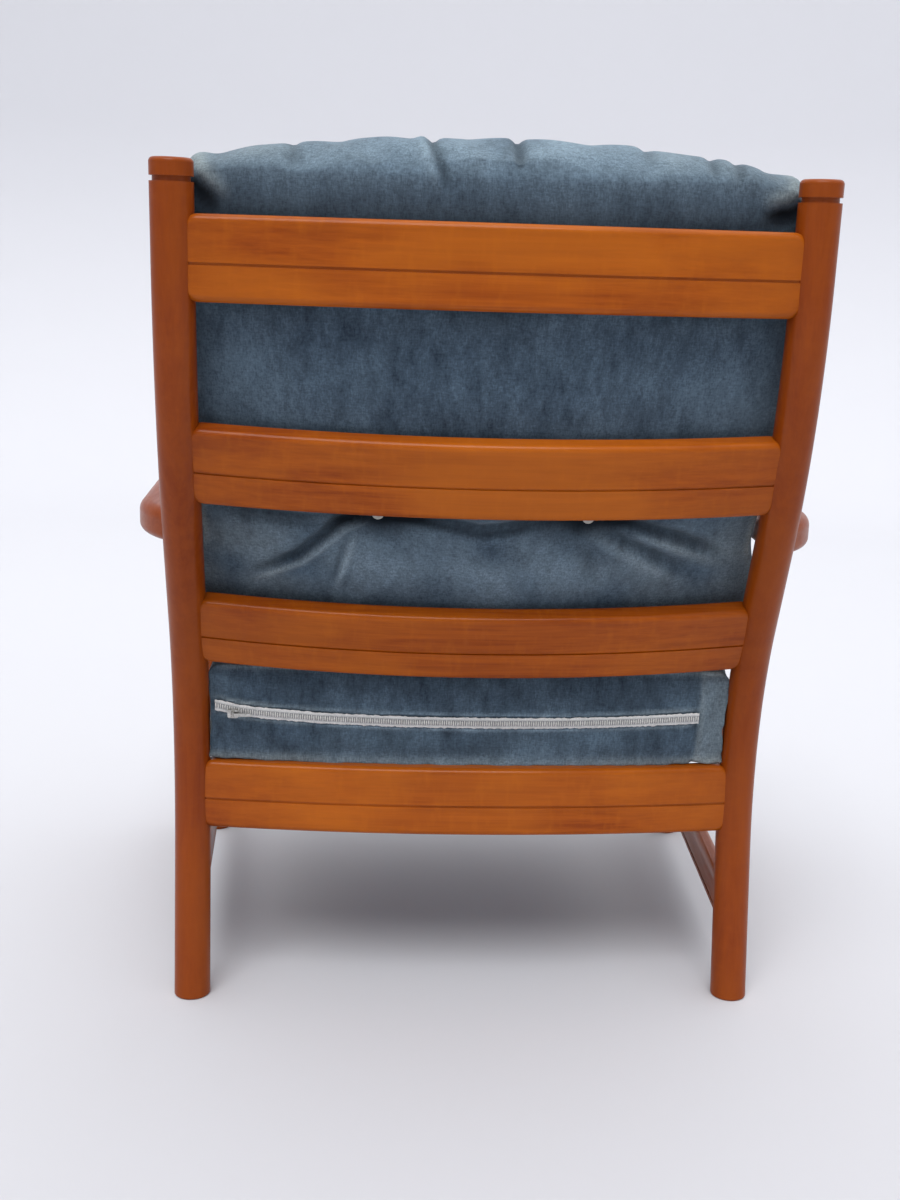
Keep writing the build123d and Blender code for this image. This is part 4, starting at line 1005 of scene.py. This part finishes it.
# Lets the underside down on to the seat cushion's top, point by point
def restOnSeat(local, look):
    tops = seatFrame.toLocal(readPoints(seatCushion.data))
    tops = tops[tops[:, 2] > look["seatTopFrom"]]
    tree = KDTree(len(tops))
    for index, (across, deep, high) in enumerate(tops):
        tree.insert((across, deep, 0.0), index)
    tree.balance()
    seat = seatFrame.toLocal(backFrame.toChair(local))
    under = local.copy()
    under[:, 2] = backFoot
    under = seatFrame.toLocal(backFrame.toChair(under))[:, 2]
    low = ramp(1 - (local[:, 2] - backFoot) / look["restOver"])
    for index in np.nonzero(low > 0)[0]:
        found = tree.find((seat[index, 0], seat[index, 1], 0.0))[1]
        top = tops[found, 2] + look["restGap"]
        gap = min(max(under[index] - top, 0.0), look["restDrop"])
        seat[index, 2] = max(seat[index, 2] - gap * low[index] ** 1.5, top)
    return seat


# Stretches the crown to its height above the top slat
def raiseCrown(piece, look):
    local = backFrame.toLocal(readPoints(piece.data))
    start = look["crownFrom"]
    tall = (look["crownTop"] - start) / (local[:, 2].max() - start)
    local[:, 2] = np.where(local[:, 2] > start, start + (local[:, 2] - start) * tall, local[:, 2])
    writePoints(piece.data, backFrame.toChair(local))


def makeBackCushion(look):
    piece = formBlock("backCushion", backShape, look["cuts"])
    remesh(piece, look["voxel"])
    seams = seamPath(backShape, [(a, -1, c) for a, c in panelCorners], look["seamSteps"])
    rearCorners = [(a, 1, c) for a, c in panelCorners[3:] + panelCorners[:3]]
    # the rear panel rolls over the top without a seam
    seams += seamPath(backShape, rearCorners, look["seamSteps"], closed=False)
    local = backFrame.toLocal(readPoints(piece.data))
    pressTufts(local, look)
    points = backFrame.toChair(local)
    writePoints(piece.data, points)
    held = seamDistance(points, seams) < look["heldBySeam"]
    for across, up, front, rear in look["tufts"]:
        held |= np.hypot(local[:, 0] - across, local[:, 2] - up) < look["tuftHeld"]
    inflate(piece, look, held)
    soften(piece, look["softenRounds"])
    raiseCrown(piece, look)
    subdivideOnce(piece)
    mesh = piece.data
    points = readPoints(mesh)
    near = seamDistance(points, seams)
    normals = readNormals(mesh)
    points = sewEdges(points, normals, near, look)
    local = backFrame.toLocal(points)
    across, deep, up = local.T  # views, so across and up follow each change below

    # dimples in front, folds and pulls behind, and folds over the crown
    outward = backFrame.axes[1]
    behind = ramp(normals @ outward * look["facing"])
    onCrown = ramp((up - look["onCrownFrom"]) / look["onCrownOver"])
    over = onCrown * ramp(normals @ (outward + backFrame.axes[2]) * look["facing"])
    pressFront(local, look, ramp(normals @ outward * -look["facing"]))
    dip = np.zeros(len(local))
    for tuftAcross, tuftUp, front, rear in look["tufts"]:
        dip += bell(np.hypot((across - tuftAcross) * look["dipWide"], up - tuftUp), look["dipReach"])
    folds = sum(foldHeight(across, up, fold) for fold in backFolds)
    deep = np.minimum(deep, rearLimit(across, up) - look["rearSlack"] * ramp(1 - dip) * behind)
    deep = deep + behind * (1 - onCrown) * (folds - look["dipDeep"] * dip)
    local[:, 1] = np.minimum(deep, rearLimit(across, up) - look["rearClear"])
    local += (normals @ backFrame.axes.T) * (over * folds)[:, None]
    points = seatFrame.toChair(restOnSeat(local, look))
    writePoints(mesh, points)
    smoothFaces(mesh)

    # faded seams, a crown top lighter from real fade plus a painted highlight, lighter fold ridges and lower
    # panel; painted shade in the fold valleys, the tuft dips and a band behind the top slat
    folded = np.maximum(behind, over)
    patches = noiseAt(points, look["patchScale"], look["patchSeed"])
    # lighter towards the crown top: partly real fade, partly a painted highlight of the light from above
    crown = ramp((up - look["crownFadeAndHighlightFrom"]) / look["crownFadeAndHighlightOver"]) ** 1.6
    fadeAndHighlight = crown * (look["crownFadeAndHighlight"] + look["crownVary"] * patches)
    fadeAndHighlight += bell(near, look["seamFade"]) * (look["fadeLevel"] + look["fadeVary"] * patches)
    fadeAndHighlight += look["ridgeLift"] * ramp(folds / look["ridgeFull"]) * folded
    lowPanel = ramp(1 - np.abs(up - look["lowAt"]) / look["lowOver"]) * behind
    fadeAndHighlight += lowPanel * np.clip(look["lowLift"] + look["lowVary"] * patches, 0, look["lowMost"])
    writeAttribute(mesh, "fadeAndHighlight", fadeAndHighlight)
    # painted shade: darker in the fold valleys and tuft dips, and in a band behind the top slat
    dark = ramp(-folds / look["valleyFull"]) * folded * look["valleyShade"] + look["dipShade"] * dip * behind
    shadeBand = ramp((up - look["bandFrom"]) / look["bandRise"]) * ramp((look["bandTo"] - up) / look["bandFall"])
    writeAttribute(mesh, "paintedShade", dark + look["bandShade"] * shadeBand * behind)
    dressVelour(piece)
    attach(piece, "back_cushion")
    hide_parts("back_cover", "back_filling")
    print("back cushion:", len(mesh.polygons), "faces")


seatCushion = makeSeatCushion(seatPad)
makeBackCushion(backPad)

# Covered buttons of the tufts
tuftButton = {"radius": 0.012, "height": 0.0075, "lift": 0.0016, "flatBack": 0.0012, "gathers": 9,
              "gatherDeep": 0.02, "segments": (28, 16)}


def makeButtons(look):
    bm = bmesh.new()
    around, along = look["segments"]
    for across, up, front, rear in backPad["tufts"]:
        made = bmesh.ops.create_uvsphere(bm, u_segments=around, v_segments=along, radius=1.0)["verts"]
        for vert in made:
            x, y, z = vert.co
            dome = look["height"] if z > 0 else look["flatBack"]
            gather = 1 + look["gatherDeep"] * math.sin(look["gathers"] * math.atan2(y, x)) * (1 - abs(z))
            local = (across + x * look["radius"] * gather, front - look["lift"] - z * dome,
                     up + y * look["radius"] * gather)
            vert.co = Vector(backFrame.toChair(local))
    bmesh.ops.recalc_face_normals(bm, faces=bm.faces[:])
    piece = meshPiece("tuftButtons", bm, velour)
    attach(piece, "back_cushion")
    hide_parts("back_buttons")


makeButtons(tuftButton)
print("buttons ready")


# Zip: a woven tape with loose edges and painted shade under the coil, and a nylon coil
def makeZipTape(look, right, left):
    length = left - right
    middle = (left + right) / 2
    bm = bmesh.new()
    cutsAlong, cutsAcross = look["tapeCuts"]
    bmesh.ops.create_grid(bm, x_segments=cutsAlong, y_segments=cutsAcross, size=1.0)
    for vert in bm.verts:
        x, y, _ = vert.co
        across = middle + x * length / 2
        fray = 0.0
        if abs(y) > look["frayFrom"]:
            fray = look["fray"] * noise.noise((across * look["frayScale"], y * 3, 0.5))
            fray += look["frayFine"] * noise.noise((across * look["frayFineScale"], y, 2.5))
        high = float(zipHeight(across)) + y * look["tape"] / 2 + fray
        wave = look["tapeWave"] * noise.noise((across * look["tapeWaveScale"], y * 2, 7.0))
        rear = look["rear"] + look["tapeCrown"] * (1 - abs(y)) + wave
        vert.co = Vector(seatFrame.toChair((across, rear, high)))
    bmesh.ops.recalc_face_normals(bm, faces=bm.faces[:])
    tape = meshPiece("zipTapeWoven", bm, zipTapeMaterial)
    local = seatFrame.toLocal(readPoints(tape.data))
    fromTeeth = np.abs(local[:, 2] - zipHeight(local[:, 0]))
    writeAttribute(tape.data, "teethShadeBand", bell(fromTeeth, look["bandHalf"], 6))
    thick = tape.modifiers.new("thickness", "SOLIDIFY")
    thick.thickness = look["tapeThick"]
    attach(tape, "seat_cushion")
    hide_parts("zip_tape")


def makeZipCoil(look, right, left):
    length = left - right
    bm = bmesh.new()
    count = int(length / look["pitch"])
    around, along = look["toothSegments"]
    for number in range(count):
        across = right + (number + 0.5) * length / count
        lean = look["toothLean"] if number % 2 else -look["toothLean"]
        made = bmesh.ops.create_uvsphere(bm, u_segments=around, v_segments=along, radius=1.0)["verts"]
        for vert in made:
            x, y, z = vert.co
            local = (across + x * look["toothLong"], look["rear"] + look["toothRear"] + y * look["toothTall"],
                     float(zipHeight(across)) + lean + z * look["toothWide"])
            vert.co = Vector(seatFrame.toChair(local))
    bmesh.ops.recalc_face_normals(bm, faces=bm.faces[:])
    coil = meshPiece("zipCoilTeeth", bm, zipWhite)
    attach(coil, "seat_cushion")
    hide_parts("zip_coil")


zipEnds = zipper["line"][0][0], zipper["line"][-1][0]
makeZipTape(zipper, *zipEnds)
makeZipCoil(zipper, *zipEnds)
print("zip ready")
